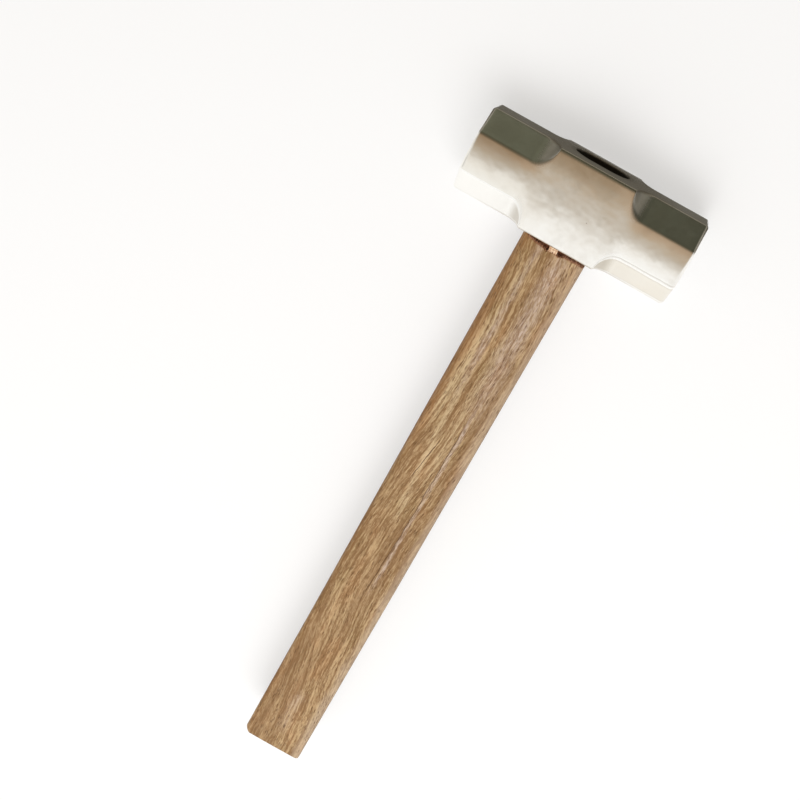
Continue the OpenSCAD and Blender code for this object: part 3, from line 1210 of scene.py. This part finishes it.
# Areas of the head: between which mm along X and Y, and above the upper flat, each one fades in
AREAS = {
    # Below the upper left chamfer: painted brown shade of a reflection
    "where the belt turned": {"x": (-26, -44), "y": (-1, 9), "z": (-1.7, -0.9)},
    # Near chamfers: where the brass is painted brighter, as they reflect the bench
    "near chamfers": {"y": (-4, -7), "z": (2 - HALF, 5 - HALF)},
    "right half": {"x": (-5, 5)},
    "dull left end": {"x": (-12, -40), "z": (-1.4, -0.9)},
    "far from the handle": {"y": (-6, 2)},
    # The far edge: painted shade over its highlight
    "far edge": {"y": (17, 21)},
    # Above the eye: a painted brown reflection along the cheek's ridge
    "cheek above the eye": {"x": (-26, -21), "z": (-2.2, -1.0)},
    "right of the eye": {"x": (8, 24)},
    "towards the eye": {"y": (-2, 6)},
}


def area(sheet, place, name):
    """A mask of one of the areas: the product of its fades."""
    axes = dict(zip("xyz", zip(sheet.split(place), (0, 0, head_top))))
    fades = []
    for axis, limits in AREAS[name].items():
        value, level = axes[axis]
        fades.append(sheet.fade(value, *[level + limit * MM for limit in limits]))
    return reduce(mul, fades)


def eye_oil_and_shade(sheet, place, blotch):
    """Painted shade on the eye's wall, oil and sap with painted shade over its two flats, and a painted
    dark ring round its mouth.
    """
    x, y, z = sheet.split(place)
    half_middle = (head_sizes["Eye length"] - head_sizes["Eye width"]) / 2
    beyond = (x.do("ABSOLUTE") - half_middle).do("MAXIMUM", 0.0)
    from_eye = (beyond * beyond + (z - half_w) ** 2).do("SQRT")
    # Painted shade inside the eye, darker with depth
    inside = sheet.fade(from_eye, mouth_half + EYE_LIP, mouth_half - EYE_WALL)
    deep = sheet.fade(half_w - y.do("ABSOLUTE"), *EYE_DEEP)
    painted_eye_shade = inside * (EYE_MOUTH_DARK + deep * (1 - EYE_MOUTH_DARK))
    on_flat = sheet.fade(y.do("ABSOLUTE"), *EYE_FLAT)
    away = (x * x + (z - half_w) ** 2).do("SQRT") + (blotch - 0.5) * OIL_AND_SHADE_RAGGED
    darkening = on_flat * (1 - sheet.fade(away, *OIL_AND_SHADE_FROM_MIDDLE) * OIL_AND_SHADE_LOSS)
    return painted_eye_shade, darkening, on_flat * sheet.fade(from_eye, mouth_half + CLOSE_TO_EYE, mouth_half)


def painted_edge_line(sheet, past_edge, at, width, blur):
    """A painted line along a chamfer's edge, all in mm: a painted reflection of the edge's rounding."""
    return sheet.fade((past_edge - at * MM).do("ABSOLUTE"), blur * MM, width * MM)


def painted_brown_by_eye(sheet, place, blotch):
    """A brown band painted along the cheek's ridge above the eye: a painted reflection of shade."""
    _, y, _ = sheet.split(place)
    kept = 1 - area(sheet, place, "right of the eye") * BROWN_LOSS
    near_ridge = sheet.fade(y + (blotch - 0.5) * BROWN_RAGGED, *NEAR_RIDGE)
    return area(sheet, place, "cheek above the eye") * kept * near_ridge


print("the brass has", len(AREAS), "areas, and its eye opens to", round(2 * mouth_half / MM, 2))

# %% Polished brass
BRASS = (0.97, 0.955, 0.91)
BRASS_WARM = (0.93, 0.90, 0.835)
BRASS_EDGE = (0.99, 0.985, 0.95)
TARNISH_AND_SHADE = (0.20, 0.17, 0.12)
# A brown that serves real smudges and painted shade alike
STAIN_AND_SHADE = (0.46, 0.40, 0.31)
HOLLOW_TARNISH_AND_SHADE = (0.16, 0.15, 0.11)
CREAMY = (0.80, 0.75, 0.64)
PAINTED_BROWN = (0.44, 0.42, 0.33)
EYE_DARK = (0.012, 0.010, 0.008)
RAGGED_EDGE = 0.7 * MM
BRASS_RELIEF = 0.26 * MM
BRASS_WEAR = {"Blotch size": 16.0, "Pit share": 0.25}
BRASS_NOISE = {
    "ragged edge": (140.0, 2.0, 0.5),
    "fine grain": (900.0, 2.0, 0.6),
    "smudge": (95.0, 3.0, 0.6),
}
WARM_FADE = (0.30, 0.70)
GRAIN_FADE = (0.3, 0.7)
SMUDGE_FADE = (0.44, 0.68)
CHAMFER_EDGE = (0.0, 0.25 * MM)
CHAMFER_INNER = (1.2 * MM, 2.0 * MM)
SCOOP_INNER = (0.6 * MM, 2.4 * MM)
EDGE_LINE = (0.1, 0.12, 0.42)
INNER_LINE = (1.75, 0.12, 0.5)


def finish_brass():
    sheet, shader, place = dressed("polished_brass")
    wear = use_group(sheet, metal_wear, {"Place": place, **BRASS_WEAR})
    noises = {name: sheet.noise(place, *settings) for name, settings in BRASS_NOISE.items()}
    blotch = wear["Blotch"]
    edge = sheet.stored("edge_nearness")
    hollow = sheet.stored("hollow")
    past_edge = sheet.stored("past_edge") + (noises["ragged edge"] - 0.5) * RAGGED_EDGE
    painted_eye_shade, darkening, close = eye_oil_and_shade(sheet, place, blotch)
    painted_left_shade, near, right, dull_end, far, far_edge, by_eye = [
        area(sheet, place, name) for name in (
            "where the belt turned", "near chamfers", "right half", "dull left end",
            "far from the handle", "far edge", "towards the eye",
        )
    ]
    warm = sheet.fade(blotch, *WARM_FADE)
    grain = sheet.fade(noises["fine grain"], *GRAIN_FADE)
    corner = near * sheet.fade(past_edge, *CHAMFER_EDGE)
    inner = sheet.fade(past_edge, *CHAMFER_INNER)
    scoop = corner * hollow * sheet.fade(past_edge, *SCOOP_INNER)
    smudge = sheet.fade(noises["smudge"], *SMUDGE_FADE) * (1 - corner * 0.85)
    faint_line = painted_edge_line(sheet, past_edge, *INNER_LINE) * 0.5
    lines = painted_edge_line(sheet, past_edge, *EDGE_LINE).do("MAXIMUM", faint_line)
    colour = layered(
        sheet, BRASS,
        ("warm blotches and fine grain", warm * 0.7 + grain * 0.15, BRASS_WARM),
        # Bright edges: partly worn brass and partly a painted highlight, kept off the far edge
        ("bright edges", edge * (1 - far_edge) * 0.4, BRASS_EDGE),
        # The smudges are the brass's own; the brown below the left chamfer is painted shade of a
        # reflection
        ("smudges and the belt's turn", (smudge * 0.15).do("MAXIMUM", painted_left_shade * 0.60), STAIN_AND_SHADE),
        ("dull left end", dull_end * (1 - far * 0.6) * 0.42, CREAMY),
        # Painted reflections: the near chamfers brighter, and the near right one creamier
        ("bright near chamfers", corner * (0.85 - right * (inner * 0.6 + 0.25)), BRASS_EDGE),
        ("creamy right chamfer", corner * right * inner * 0.52, CREAMY),
        # Painted lines along the near right chamfer's edge: the reflection of its rounding
        ("hair lines", near * right * lines * 0.35, STAIN_AND_SHADE),
        # Painted shade in the near scoops
        ("shaded scoops", scoop * 0.5, STAIN_AND_SHADE),
        # Oil and sap round the eye, with painted shade over them where the far flat reflects the bench
        ("oil from the eye", darkening * 0.5, STAIN_AND_SHADE),
        # A painted brown reflection along the cheek's ridge above the eye
        ("brown above the eye", painted_brown_by_eye(sheet, place, blotch) * 0.44, PAINTED_BROWN),
        # Painted shade on the far edge, over its highlight, and round the eye's mouth
        ("dark far edge and eye ring", (edge**3 * far_edge * 0.5).do("MAXIMUM", close * 0.45), TARNISH_AND_SHADE),
        # A little tarnish in all scoops, and painted shade in the far ones
        ("tarnished scoops", hollow * (0.05 + by_eye * 0.3), HOLLOW_TARNISH_AND_SHADE),
        ("pits", wear["Pit"] * 0.9, TARNISH_AND_SHADE),
        # Painted shade in the eye; the wall is also made rough and not metallic there
        ("black in the eye", painted_eye_shade * 0.96, EYE_DARK),
    )
    rough = 0.17 + warm * 0.03 + grain * 0.02 + wear["Scratch"] * 0.04 + wear["Pit"] * 0.3 + darkening * 0.05
    return coat(sheet, shader, {
        "Base Color": colour,
        "Roughness": rough + painted_eye_shade * 0.6 + hollow * 0.2,
        "Metallic": 1.0 - painted_eye_shade,
        "Specular IOR Level": 0.1,
    }, wear["Height"], BRASS_RELIEF)


print("polished brass:", finish_brass(), "nodes")

# %% [markdown]
# ### Wood of the handle
# The plank is a plain tan hardwood with brown streaks, small dark pores and a few drying checks, and
# its colour drifts along the bar. One noise would look the same all over. So the grain group gives the
# small pattern, and long soft bands lie over it, each from one place to another: brown and cream ones
# in the plank's own colours, and grey-pink ones that are a painted sheen. A pale grey sheen along the
# right side is painted too, and the left side is darker, warmer wood with painted shade over it.

# %% Bands along the handle
# Each band or check in mm: its two ends, how far off its line it is full and how far off it is gone.
# Where the first of these is under 0, it is never quite full.
CHECK_WIDTHS = (0.08, 0.30)
CHECKS = (
    ((-6.8, -181), (-1.5, -142), *CHECK_WIDTHS),
    ((5.0, -235), (5.9, -120), *CHECK_WIDTHS),
    ((3.2, -262), (4.9, -205), *CHECK_WIDTHS),
)
# Bands of painted grey-pink sheen on the upper handle
PAINTED_SHEEN_BANDS = (
    ((6.8, -140), (6.6, 10), -0.4, 8.6),
    ((-7.2, -130), (-6.6, 10), -0.5, 3.4),
    ((8.0, -112), (8.2, -34), 0.2, 2.0),
    ((5.6, -262), (7.2, -100), 0.3, 1.7),
    ((0.8, -368), (1.0, -330), -4.0, 6.0),
)
CREAM_BANDS = (
    ((-12.5, -150), (-7.0, -20), 0.2, 3.0),
    ((-2.0, -215), (-8.0, -95), 0.5, 3.0),
    ((2.0, -190), (1.5, -60), -1.0, 4.0),
)
BROWN_BANDS = (
    ((2.0, -305), (3.0, -185), -1.0, 4.6),
    ((8.5, -300), (8.0, -190), -2.0, 5.0),
    ((12.0, -190), (11.5, -70), 0.0, 3.4),
    ((-13.0, -420), (-11.0, -270), 0.5, 7.0),
    ((-4.0, -400), (-4.0, -285), -2.0, 7.5),
)
BAND_ENDS = 0.25
BAND_SQUEEZE = 0.5
BAND_WAVES = (150.0, 3.0, 0.6)
FACES_UP = (half_w + 4 * MM, half_w + 6 * MM)


def band(sheet, x, y, wobble, start, end, inner, outer):
    """A soft line on the handle from one place to another, whose ends fade out."""
    (x0, y0), (x1, y1) = start, end
    share = (y - y0 * MM) / ((y1 - y0) * MM)
    off = (x - (share * (x1 - x0) + x0) * MM + wobble).do("ABSOLUTE")
    ends = sheet.fade(share, 0.0, BAND_ENDS) * sheet.fade(share, 1.0, 1 - BAND_ENDS)
    return sheet.fade(off, outer * MM, inner * MM) * ends


def bands(sheet, x, y, z, places, sway):
    """The strongest of several bands at each place, on the side that faces up. They sway in mm."""
    wave = sheet.noise(sheet.join(x, y * BAND_SQUEEZE, z), *BAND_WAVES)
    wobble = (wave - 0.5) * sway * MM
    found = [band(sheet, x, y, wobble, *place) for place in places]
    return reduce(lambda a, b: a.do("MAXIMUM", b), found) * sheet.fade(z, *FACES_UP)


print("bands:", len(PAINTED_SHEEN_BANDS), "grey,", len(CREAM_BANDS), "cream,", len(BROWN_BANDS), "brown")

# %% Wood of the handle
TAN = linear(170, 135, 88)
PALE_TAN = linear(204, 173, 129)
BROWN = linear(126, 90, 50)
ORANGE = linear(180, 124, 70)
OLIVE = linear(158, 132, 84)
PAINTED_SHEEN_PINK = linear(202, 180, 164)
PAINTED_SHEEN_GREY = linear(200, 182, 162)
CREAM = linear(212, 188, 148)
PORE_DARK = linear(92, 64, 38)
SHOULDER_SHADE = linear(140, 86, 58)
GRAIN_SWAY = 5.4 * MM
SWAY_LENGTH = 300 * MM
SWAY_MIDDLE = -165 * MM
RAGGED_SIDES = 10 * MM
NEAR_HEAD = (-230 * MM, -90 * MM)
NEAR_SHOULDER = (-110 * MM, -40 * MM)
NEAR_BUTT = (-290 * MM, -375 * MM)
LEFT_SIDE = (12 * MM, 17.5 * MM)
RIGHT_SIDE = (12 * MM, 17 * MM)
END_GRAIN = (0.6, 0.9)
PALE_CLOUD = (0.36, 0.64)
BROWN_CLOUD = (0.54, 0.40)
HUE_WAVES = (130.0, 2.0, 0.5)
ORANGE_HUE = (0.52, 0.66)
OLIVE_HUE = (0.48, 0.34)
PATCH_WAVES = (120.0, 2.0, 0.5)
PATCH_FADE = (0.40, 0.60)
TICK_SCALE = 760.0
TICK_FADE = (0.26, 0.12)
TICK_CLOUD = (0.46, 0.56)
SQUEEZES = {"hue": 0.3, "patches": 0.25, "ticks": 0.22}
SWAYS = {"brown": 6.0, "cream": 5.0, "painted_sheen": 3.4, "checks": 2.4}
WOOD_RELIEF = 0.16 * MM


def finish_handle_wood():
    sheet, shader, place = dressed("handle_wood")
    x, y, z = sheet.split(place)
    sway = ((y - SWAY_MIDDLE) * (FULL_TURN / SWAY_LENGTH)).do("SINE") * GRAIN_SWAY
    grain = use_group(sheet, wood_grain, {"Place": sheet.join(x - sway, y, z), "Pore share": 0.8})
    cloud, streak, fibre, ribbon = [grain[name] for name in ("Cloud", "Streak", "Fibre", "Ribbon")]
    hue = sheet.noise(sheet.join(x, y * SQUEEZES["hue"], z), *HUE_WAVES)
    near_head = sheet.fade(y, *NEAR_HEAD)
    ragged = (cloud - 0.5) * RAGGED_SIDES
    left = sheet.fade(ragged - x, *LEFT_SIDE)
    right = sheet.fade(ragged + x, *RIGHT_SIDE)
    dark = bands(sheet, x, y, z, BROWN_BANDS, SWAYS["brown"])
    cream = bands(sheet, x, y, z, CREAM_BANDS, SWAYS["cream"])
    painted_sheen = bands(sheet, x, y, z, PAINTED_SHEEN_BANDS, SWAYS["painted_sheen"])
    checks = bands(sheet, x, y, z, CHECKS, SWAYS["checks"])
    patches = sheet.noise(sheet.join(x, y * SQUEEZES["patches"], z), *PATCH_WAVES)
    patches = sheet.fade(patches, *PATCH_FADE)
    far_end = (near_head * sheet.fade(y, *NEAR_SHOULDER)).do("MAXIMUM", sheet.fade(y, *NEAR_BUTT))
    ticks = sheet.cells(sheet.join(x - sway, y * SQUEEZES["ticks"], z), TICK_SCALE)
    ticks = sheet.fade(ticks, *TICK_FADE) * sheet.fade(cloud, *TICK_CLOUD) * (0.3 + far_end * 0.6)
    normal = sheet.out(sheet.node("ShaderNodeNewGeometry"), "Normal")
    end_grain = sheet.fade(sheet.split(normal)[1].do("ABSOLUTE"), *END_GRAIN)
    colour = layered(
        sheet, TAN,
        ("pale clouds", sheet.fade(cloud, *PALE_CLOUD) * 0.6, PALE_TAN),
        ("rings", grain["Ring"] * 0.35, BROWN),
        ("pale ribbons", ribbon * 0.5, PALE_TAN),
        ("brown between ribbons", (1 - ribbon) * 0.28, BROWN),
        ("brown clouds", sheet.fade(cloud, *BROWN_CLOUD) * 0.25, BROWN),
        ("orange drift", sheet.fade(hue, *ORANGE_HUE) * 0.34, ORANGE),
        ("olive drift", sheet.fade(hue, *OLIVE_HUE) * 0.45, OLIVE),
        ("brown streaks", (1 - streak) * 0.80, BROWN),
        ("brown between fibres", (1 - fibre) * 0.18, BROWN),
        ("pale fibres", fibre * streak * 0.55, PALE_TAN),
        # The left side is darker orange-brown: warmer wood, and painted shade where it turns from the
        # lamp
        ("warm left side", left * (0.25 + near_head * 0.35), mixed(ORANGE, BROWN)),
        ("warm right side", right * near_head * 0.15, ORANGE),
        # A painted pale grey sheen along the right side
        ("grey right side", right * 0.38, PAINTED_SHEEN_GREY),
        ("brown bands", dark * 0.52, BROWN),
        ("cream bands", cream * (0.1 + streak * 0.5), CREAM),
        # Painted grey-pink sheen bands, with lower roughness
        ("grey bands", painted_sheen * (0.55 + patches * 0.45) * (0.2 + fibre * 0.7), PAINTED_SHEEN_PINK),
        ("pores", grain["Pore"] * 0.6, PORE_DARK),
        ("short dark ticks", ticks * 0.8, PORE_DARK),
        ("drying checks", checks * 0.75, PORE_DARK),
        ("end grain", end_grain * (0.12 + grain["Ring"] * 0.5), mixed(BROWN, PORE_DARK)),
        # Painted shade on the tenon and shoulder in the gap under the head, in the eye and on the butt's
        # rim
        ("stained ends", sheet.stored("painted_shade"), SHOULDER_SHADE),
    )
    rough = 0.50 + (1 - streak) * 0.16 + grain["Pore"] * 0.2 - painted_sheen * 0.12
    values = {"Base Color": colour, "Roughness": rough}
    return coat(sheet, shader, values, grain["Height"] - checks * 2.0 - ticks, WOOD_RELIEF, 0.8)


print("handle wood:", finish_handle_wood(), "nodes")

# %% [markdown]
# ### Freshly torn wood
# Where wood has just been torn it is paler than outside and browner where it broke off, and deep in
# the gap it is painted darker, as shade. It could share the handle's material, but that carries a
# painted sheen and painted shade. So it gets its own layers over the same grain group, measured from
# the splinter's own sides and root.

# %% Freshly torn wood
FRESH_DARK = linear(200, 158, 122)
FRESH_PALE = linear(240, 216, 184)
FRESH_PINK = linear(196, 144, 112)
FIBRE_BROWN = linear(150, 100, 72)
BREAK_BROWN = linear(150, 100, 66)
CRACK_BROWN = linear(150, 98, 66)
GAP_SHADE = linear(96, 62, 38)
TORN_RELIEF = 0.15 * MM
TORN_RINGS = {"Ring width": 1.6 * MM, "Pore share": 0.3}
CRACK_UP = 1.9 * MM
CRACK_SLANT = 0.12
CRACK_RAGGED = 1.2 * MM
CRACK_FADE = (0.32 * MM, 0.05 * MM)
PINK_RAGGED = 6 * MM
PINK_FADE = (-1.5 * MM, 1.5 * MM)
ASIDE = (SPLINTER_X[1] + 0.1 * MM, SPLINTER_X[1] + 0.5 * MM)
BROKEN = (SPLINTER_ROOT + 1.3 * MM, SPLINTER_ROOT + 0.2 * MM)
IN_GAP = (TOP_Z - 0.2 * MM, TOP_Z - 1.2 * MM)


def finish_torn_wood():
    sheet, shader, place = dressed("torn_wood")
    x, y, z = sheet.split(place)
    grain = use_group(sheet, wood_grain, {"Place": place, **TORN_RINGS})
    ragged = grain["Cloud"] - 0.5
    above_root = y - SPLINTER_ROOT - x * CRACK_SLANT
    from_crack = (above_root - CRACK_UP + ragged * CRACK_RAGGED).do("ABSOLUTE")
    colour = layered(
        sheet, FRESH_DARK,
        ("pale streaks", grain["Streak"], FRESH_PALE),
        ("loose fibres", sheet.fade(x.do("ABSOLUTE"), *ASIDE) * 0.85, FIBRE_BROWN),
        ("pink right side", sheet.fade(x + ragged * PINK_RAGGED, *PINK_FADE) * 0.35, FRESH_PINK),
        ("broken root", sheet.fade(y, *BROKEN) * 0.6, BREAK_BROWN),
        ("crack across", sheet.fade(from_crack, *CRACK_FADE) * 0.6, CRACK_BROWN),
        # Painted shade deep in the gap under the head
        ("deep in the gap", sheet.fade(z, *IN_GAP) * 0.8, GAP_SHADE),
    )
    values = {"Base Color": colour, "Roughness": 0.7 + grain["Fibre"] * 0.1}
    return coat(sheet, shader, values, grain["Height"], TORN_RELIEF, 0.8)


print("torn wood:", finish_torn_wood(), "nodes")

# %% [markdown]
# ### Wood and steel of the wedges
# A wooden wedge is split from close-ringed pale wood, and a steel one is stamped, dark and a little
# rusty. Little of them shows down in the eye, so each is a few layers over the shared grain and wear
# groups, with rings and blotches at a wedge's own smaller scale.

# %% Wood and steel of the wedges
WEDGE_PALE = linear(214, 186, 142)
WEDGE_TAN = linear(186, 152, 106)
WEDGE_RING = linear(150, 112, 70)
STEEL_DARK = (0.34, 0.34, 0.35)
STEEL_PALE = (0.52, 0.51, 0.50)
RUST = linear(120, 82, 56)
WEDGE_RINGS = {"Ring width": 1.8 * MM, "Pith Z": -20 * MM, "Pore share": 0.4}
WEDGE_WEAR = {"Blotch size": 5.0, "Scratch": 0.8, "Pit share": 0.9}
WEDGE_CLOUDS = (0.3, 0.7)
STEEL_BLOTCHES = (0.35, 0.7)
RUST_FADE = (0.56, 0.72)
STEEL_RELIEF = 0.05 * MM


def finish_wedge_wood():
    sheet, shader, place = dressed("wedge_wood")
    grain = use_group(sheet, wood_grain, {"Place": place, **WEDGE_RINGS})
    colour = layered(
        sheet, WEDGE_PALE,
        ("tan clouds", sheet.fade(grain["Cloud"], *WEDGE_CLOUDS), WEDGE_TAN),
        ("rings", grain["Ring"] * 0.4, WEDGE_RING),
        ("pores", grain["Pore"] * 0.7, PORE_DARK),
    )
    values = {"Base Color": colour, "Roughness": 0.6 + grain["Streak"] * 0.2}
    return coat(sheet, shader, values, grain["Height"], TORN_RELIEF, 0.8)


def finish_wedge_steel():
    sheet, shader, place = dressed("wedge_steel")
    wear = use_group(sheet, metal_wear, {"Place": place, **WEDGE_WEAR})
    rust = sheet.fade(wear["Blotch"], *RUST_FADE)
    colour = layered(
        sheet, STEEL_DARK,
        ("pale steel", sheet.fade(wear["Blotch"], *STEEL_BLOTCHES), STEEL_PALE),
        ("rust", rust * 0.5, RUST),
    )
    values = {"Base Color": colour, "Roughness": 0.34 + rust * 0.3, "Metallic": 1.0 - rust * 0.5}
    return coat(sheet, shader, values, wear["Height"], STEEL_RELIEF, 0.8)


print("wedge wood:", finish_wedge_wood(), "nodes")
print("wedge steel:", finish_wedge_steel(), "nodes")

# %% [markdown]
# ## The bench
# The bench is a pale matt top without an edge in view. More light would make it white and wash the
# hammer out. So the top is a mid grey that keeps the hammer's shadow, and it is lifted towards white
# only where the camera, a reflection or clear material sees it.

# %% The bench
FLOOR_SIZE = 60.0
FLOOR_GAP = 0.05 * MM
FLOOR_TONE = 0.45
FLOOR_LIFT = 0.55
WHITE = (1, 1, 1, 1)


def make_floor():
    bpy.ops.mesh.primitive_plane_add(size=FLOOR_SIZE, location=(0, 0, head_low.z - FLOOR_GAP))
    floor = bpy.context.object
    floor.name = "bench_top"
    sheet, shader, _ = dressed("bench_top")
    path = sheet.node("ShaderNodeLightPath")
    rays = [sheet.out(path, f"Is {kind} Ray") for kind in ("Camera", "Glossy", "Transmission")]
    seen = reduce(lambda a, b: a.do("MAXIMUM", b), rays)
    sheet.feed(shader, {
        "Base Color": (FLOOR_TONE, FLOOR_TONE, FLOOR_TONE, 1),
        "Roughness": 0.9,
        "Specular IOR Level": 0.1,
        "Emission Color": WHITE,
        "Emission Strength": seen * FLOOR_LIFT,
    })
    floor.data.materials.append(materials["bench_top"])


make_floor()
print("bench", FLOOR_SIZE, "metres wide")

# %% [markdown]
# ## What the metal sees
# Polished metal has hardly a colour of its own: it shows what stands round it. So the hammer is lit the
# way metal is photographed. A large curved card over the far side, dark at its foot and brown towards
# its top, gives the dark chamfers and the soft shading of the cheek. A dark sheet on the bench behind
# the head is painted shade: it stands in for the bench's shade there, as the head's far side reflects
# it. The camera sees neither, and light goes through the sheet, so the bench stays white.

# %% The curved card and the dark sheet
CARD_RADIUS = 1.6
CARD_HALF_WIDTH = 4.0
CARD_END = 112
CARD_ROWS = 57
CARD_RIGHT_SHADE = 0.49
CARD_FOOT = (0.65, 0.4)
CARD_MIDDLE = (-0.25, 0.25)
CARD_TONES = (
    (0, (0.125, 0.128, 0.089)),
    (30, (0.112, 0.111, 0.075)),
    (70, (0.19, 0.15, 0.10)),
    (80, (0.34, 0.245, 0.16)),
    (86, (0.48, 0.335, 0.215)),
    (92, (0.51, 0.415, 0.31)),
    (97, (0.50, 0.445, 0.375)),
    (101, (0.58, 0.54, 0.485)),
    (105, (0.97, 0.955, 0.93)),
    (112, (1.0, 1.0, 1.0)),
)
SHEET_START = head_high.y + 0.3 * MM
SHEET_DARK = 0.13
SHEET_LIGHT = 0.40
SHEET_TONE = (1.0, 0.925, 0.77, 1)
SHEET_RISE = (8 * MM, 110 * MM)
SHEET_FALL = (330 * MM, 130 * MM)


def make_card(name, places, colour, strength):
    """A glowing card through places along Y and Z, which the camera doesn't see."""
    shape = bmesh.new()
    rows = [[shape.verts.new((side * CARD_HALF_WIDTH, y, z)) for side in (-1, 1)] for y, z in places]
    for (a, b), (c, d) in zip(rows, rows[1:]):
        shape.faces.new((a, b, d, c))
    card = placed(name, as_mesh(name, shape))
    card.visible_camera = False
    card.data.materials.append(materials[name])
    sheet, shader, place = dressed(name)
    sheet.feed(shader, {
        "Base Color": (0, 0, 0, 1),
        "Roughness": 1.0,
        "Specular IOR Level": 0.0,
        "Emission Color": colour(sheet, place),
        "Emission Strength": strength(sheet, place),
    })
    return card


def card_turn(sheet, place):
    """How far up the curved card a place is, from 0 at its foot to 1 at its end."""
    _, y, z = sheet.split(place)
    return z.do("ARCTAN2", y) / math.radians(CARD_END)


def card_colour(sheet, place):
    ramp = sheet.node("ShaderNodeValToRGB", {0: card_turn(sheet, place)})
    stops = ramp.color_ramp.elements
    for degrees, _ in CARD_TONES[1:-1]:
        stops.new(degrees / CARD_END)
    for stop, (degrees, tone) in zip(stops, CARD_TONES):
        stop.position = degrees / CARD_END
        stop.color = (*tone, 1)
    return sheet.out(ramp)


def card_strength(sheet, place):
    foot = sheet.fade(card_turn(sheet, place), *CARD_FOOT)
    right = sheet.fade(sheet.split(place)[0], *CARD_MIDDLE)
    return 1 - foot * right * (1 - CARD_RIGHT_SHADE)


def sheet_strength(sheet, place):
    away = sheet.split(place)[1] - SHEET_START
    light = sheet.fade(away, *SHEET_RISE) * sheet.fade(away, *SHEET_FALL)
    return SHEET_DARK + light * (SHEET_LIGHT - SHEET_DARK)


turns = [math.radians(degrees) for degrees in np.linspace(0, CARD_END, CARD_ROWS)]
bow = [(CARD_RADIUS * math.cos(turn), CARD_RADIUS * math.sin(turn)) for turn in turns]
make_card("curved_card", bow, card_colour, card_strength)
level = [(SHEET_START, head_low.z), (CARD_RADIUS, head_low.z)]
# The dark sheet is painted shade behind the head, which only reflections see
dark_sheet = make_card("dark_sheet", level, lambda sheet, place: SHEET_TONE, sheet_strength)
dark_sheet.visible_diffuse = False
dark_sheet.visible_transmission = False
dark_sheet.visible_shadow = False
print("card of", CARD_ROWS, "rows, and a sheet from", round(SHEET_START / MM, 1), "to", CARD_RADIUS / MM)

# %% [markdown]
# ## The lamp and the white surroundings
# White walls stand in front and along the horizon, and pale grey ones above the sides, so that the near
# facets come out bright and the others don't. A plain white world would flatten the head. One soft lamp
# from the front right models the handle, and reflections leave it out.

# %% The lamp and the white surroundings
LAMP_AT = (0.35, -0.55, 1.2)
LAMP_AIM = (0, -0.12, 0)
LAMP_SIDE = 0.9
LAMP_RADIANCE = 4.0
FRONT_WHITE = 1.0
SIDE_GREY = 0.58
HORIZON_WHITE = 0.93
FRONT_LEAN = 0.25
FRONT_FADE_IN = (-0.05, 0.45)
HORIZON_FADE = (0.34, 0.06)


def make_lamp():
    """A square soft lamp that faces the upper part of the handle."""
    data = bpy.data.lights.new("front_lamp", "AREA")
    data.shape = "RECTANGLE"
    data.size, data.size_y = LAMP_SIDE, LAMP_SIDE
    data.energy = LAMP_RADIANCE * math.pi * LAMP_SIDE**2
    lamp = placed("front_lamp", data)
    lamp.visible_glossy = False
    turn = (Vector(LAMP_AIM) - Vector(LAMP_AT)).to_track_quat("-Z", "Y")
    lamp.matrix_world = Matrix.Translation(LAMP_AT) @ turn.to_matrix().to_4x4()
    return data.energy


def make_world():
    world = bpy.data.worlds.new("studio_walls")
    world.use_nodes = True
    sheet = Sheet(world.node_tree)
    x, y, z = sheet.split(sheet.out(sheet.node("ShaderNodeTexCoord"), "Generated"))
    front = sheet.fade(x * FRONT_LEAN - y, *FRONT_FADE_IN)
    walls = SIDE_GREY + (FRONT_WHITE - SIDE_GREY) * front
    strength = walls + (HORIZON_WHITE - walls) * sheet.fade(z, *HORIZON_FADE)
    sheet.feed(sheet.tree.nodes["Background"], {"Color": WHITE, "Strength": strength})
    bpy.context.scene.world = world


make_world()
bpy.context.scene.view_settings.view_transform = "Standard"
print("lit by pale walls and one lamp of", round(make_lamp(), 1), "watts")

# %% [markdown]
# ## The pieces and their body
# Each piece stands for one part of the construction and takes its place in it, and the torn shoulder is
# an extra one on the handle. Nothing on a hammer moves, so every piece rides on the one body.

# %% Pieces and bodies
for piece, node, slot in (
    (hammer_head, "hammer_head", "head_brass"),
    (planed_handle, "handle", "handle_wood"),
    (broomed_wedge, "wooden_wedge", "wedge_wood"),
    (driven_wedges, "steel_wedges", "wedge_steel"),
    (torn_shoulder, None, "handle_wood"),
):
    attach(piece, "root")
    if node:
        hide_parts(node)
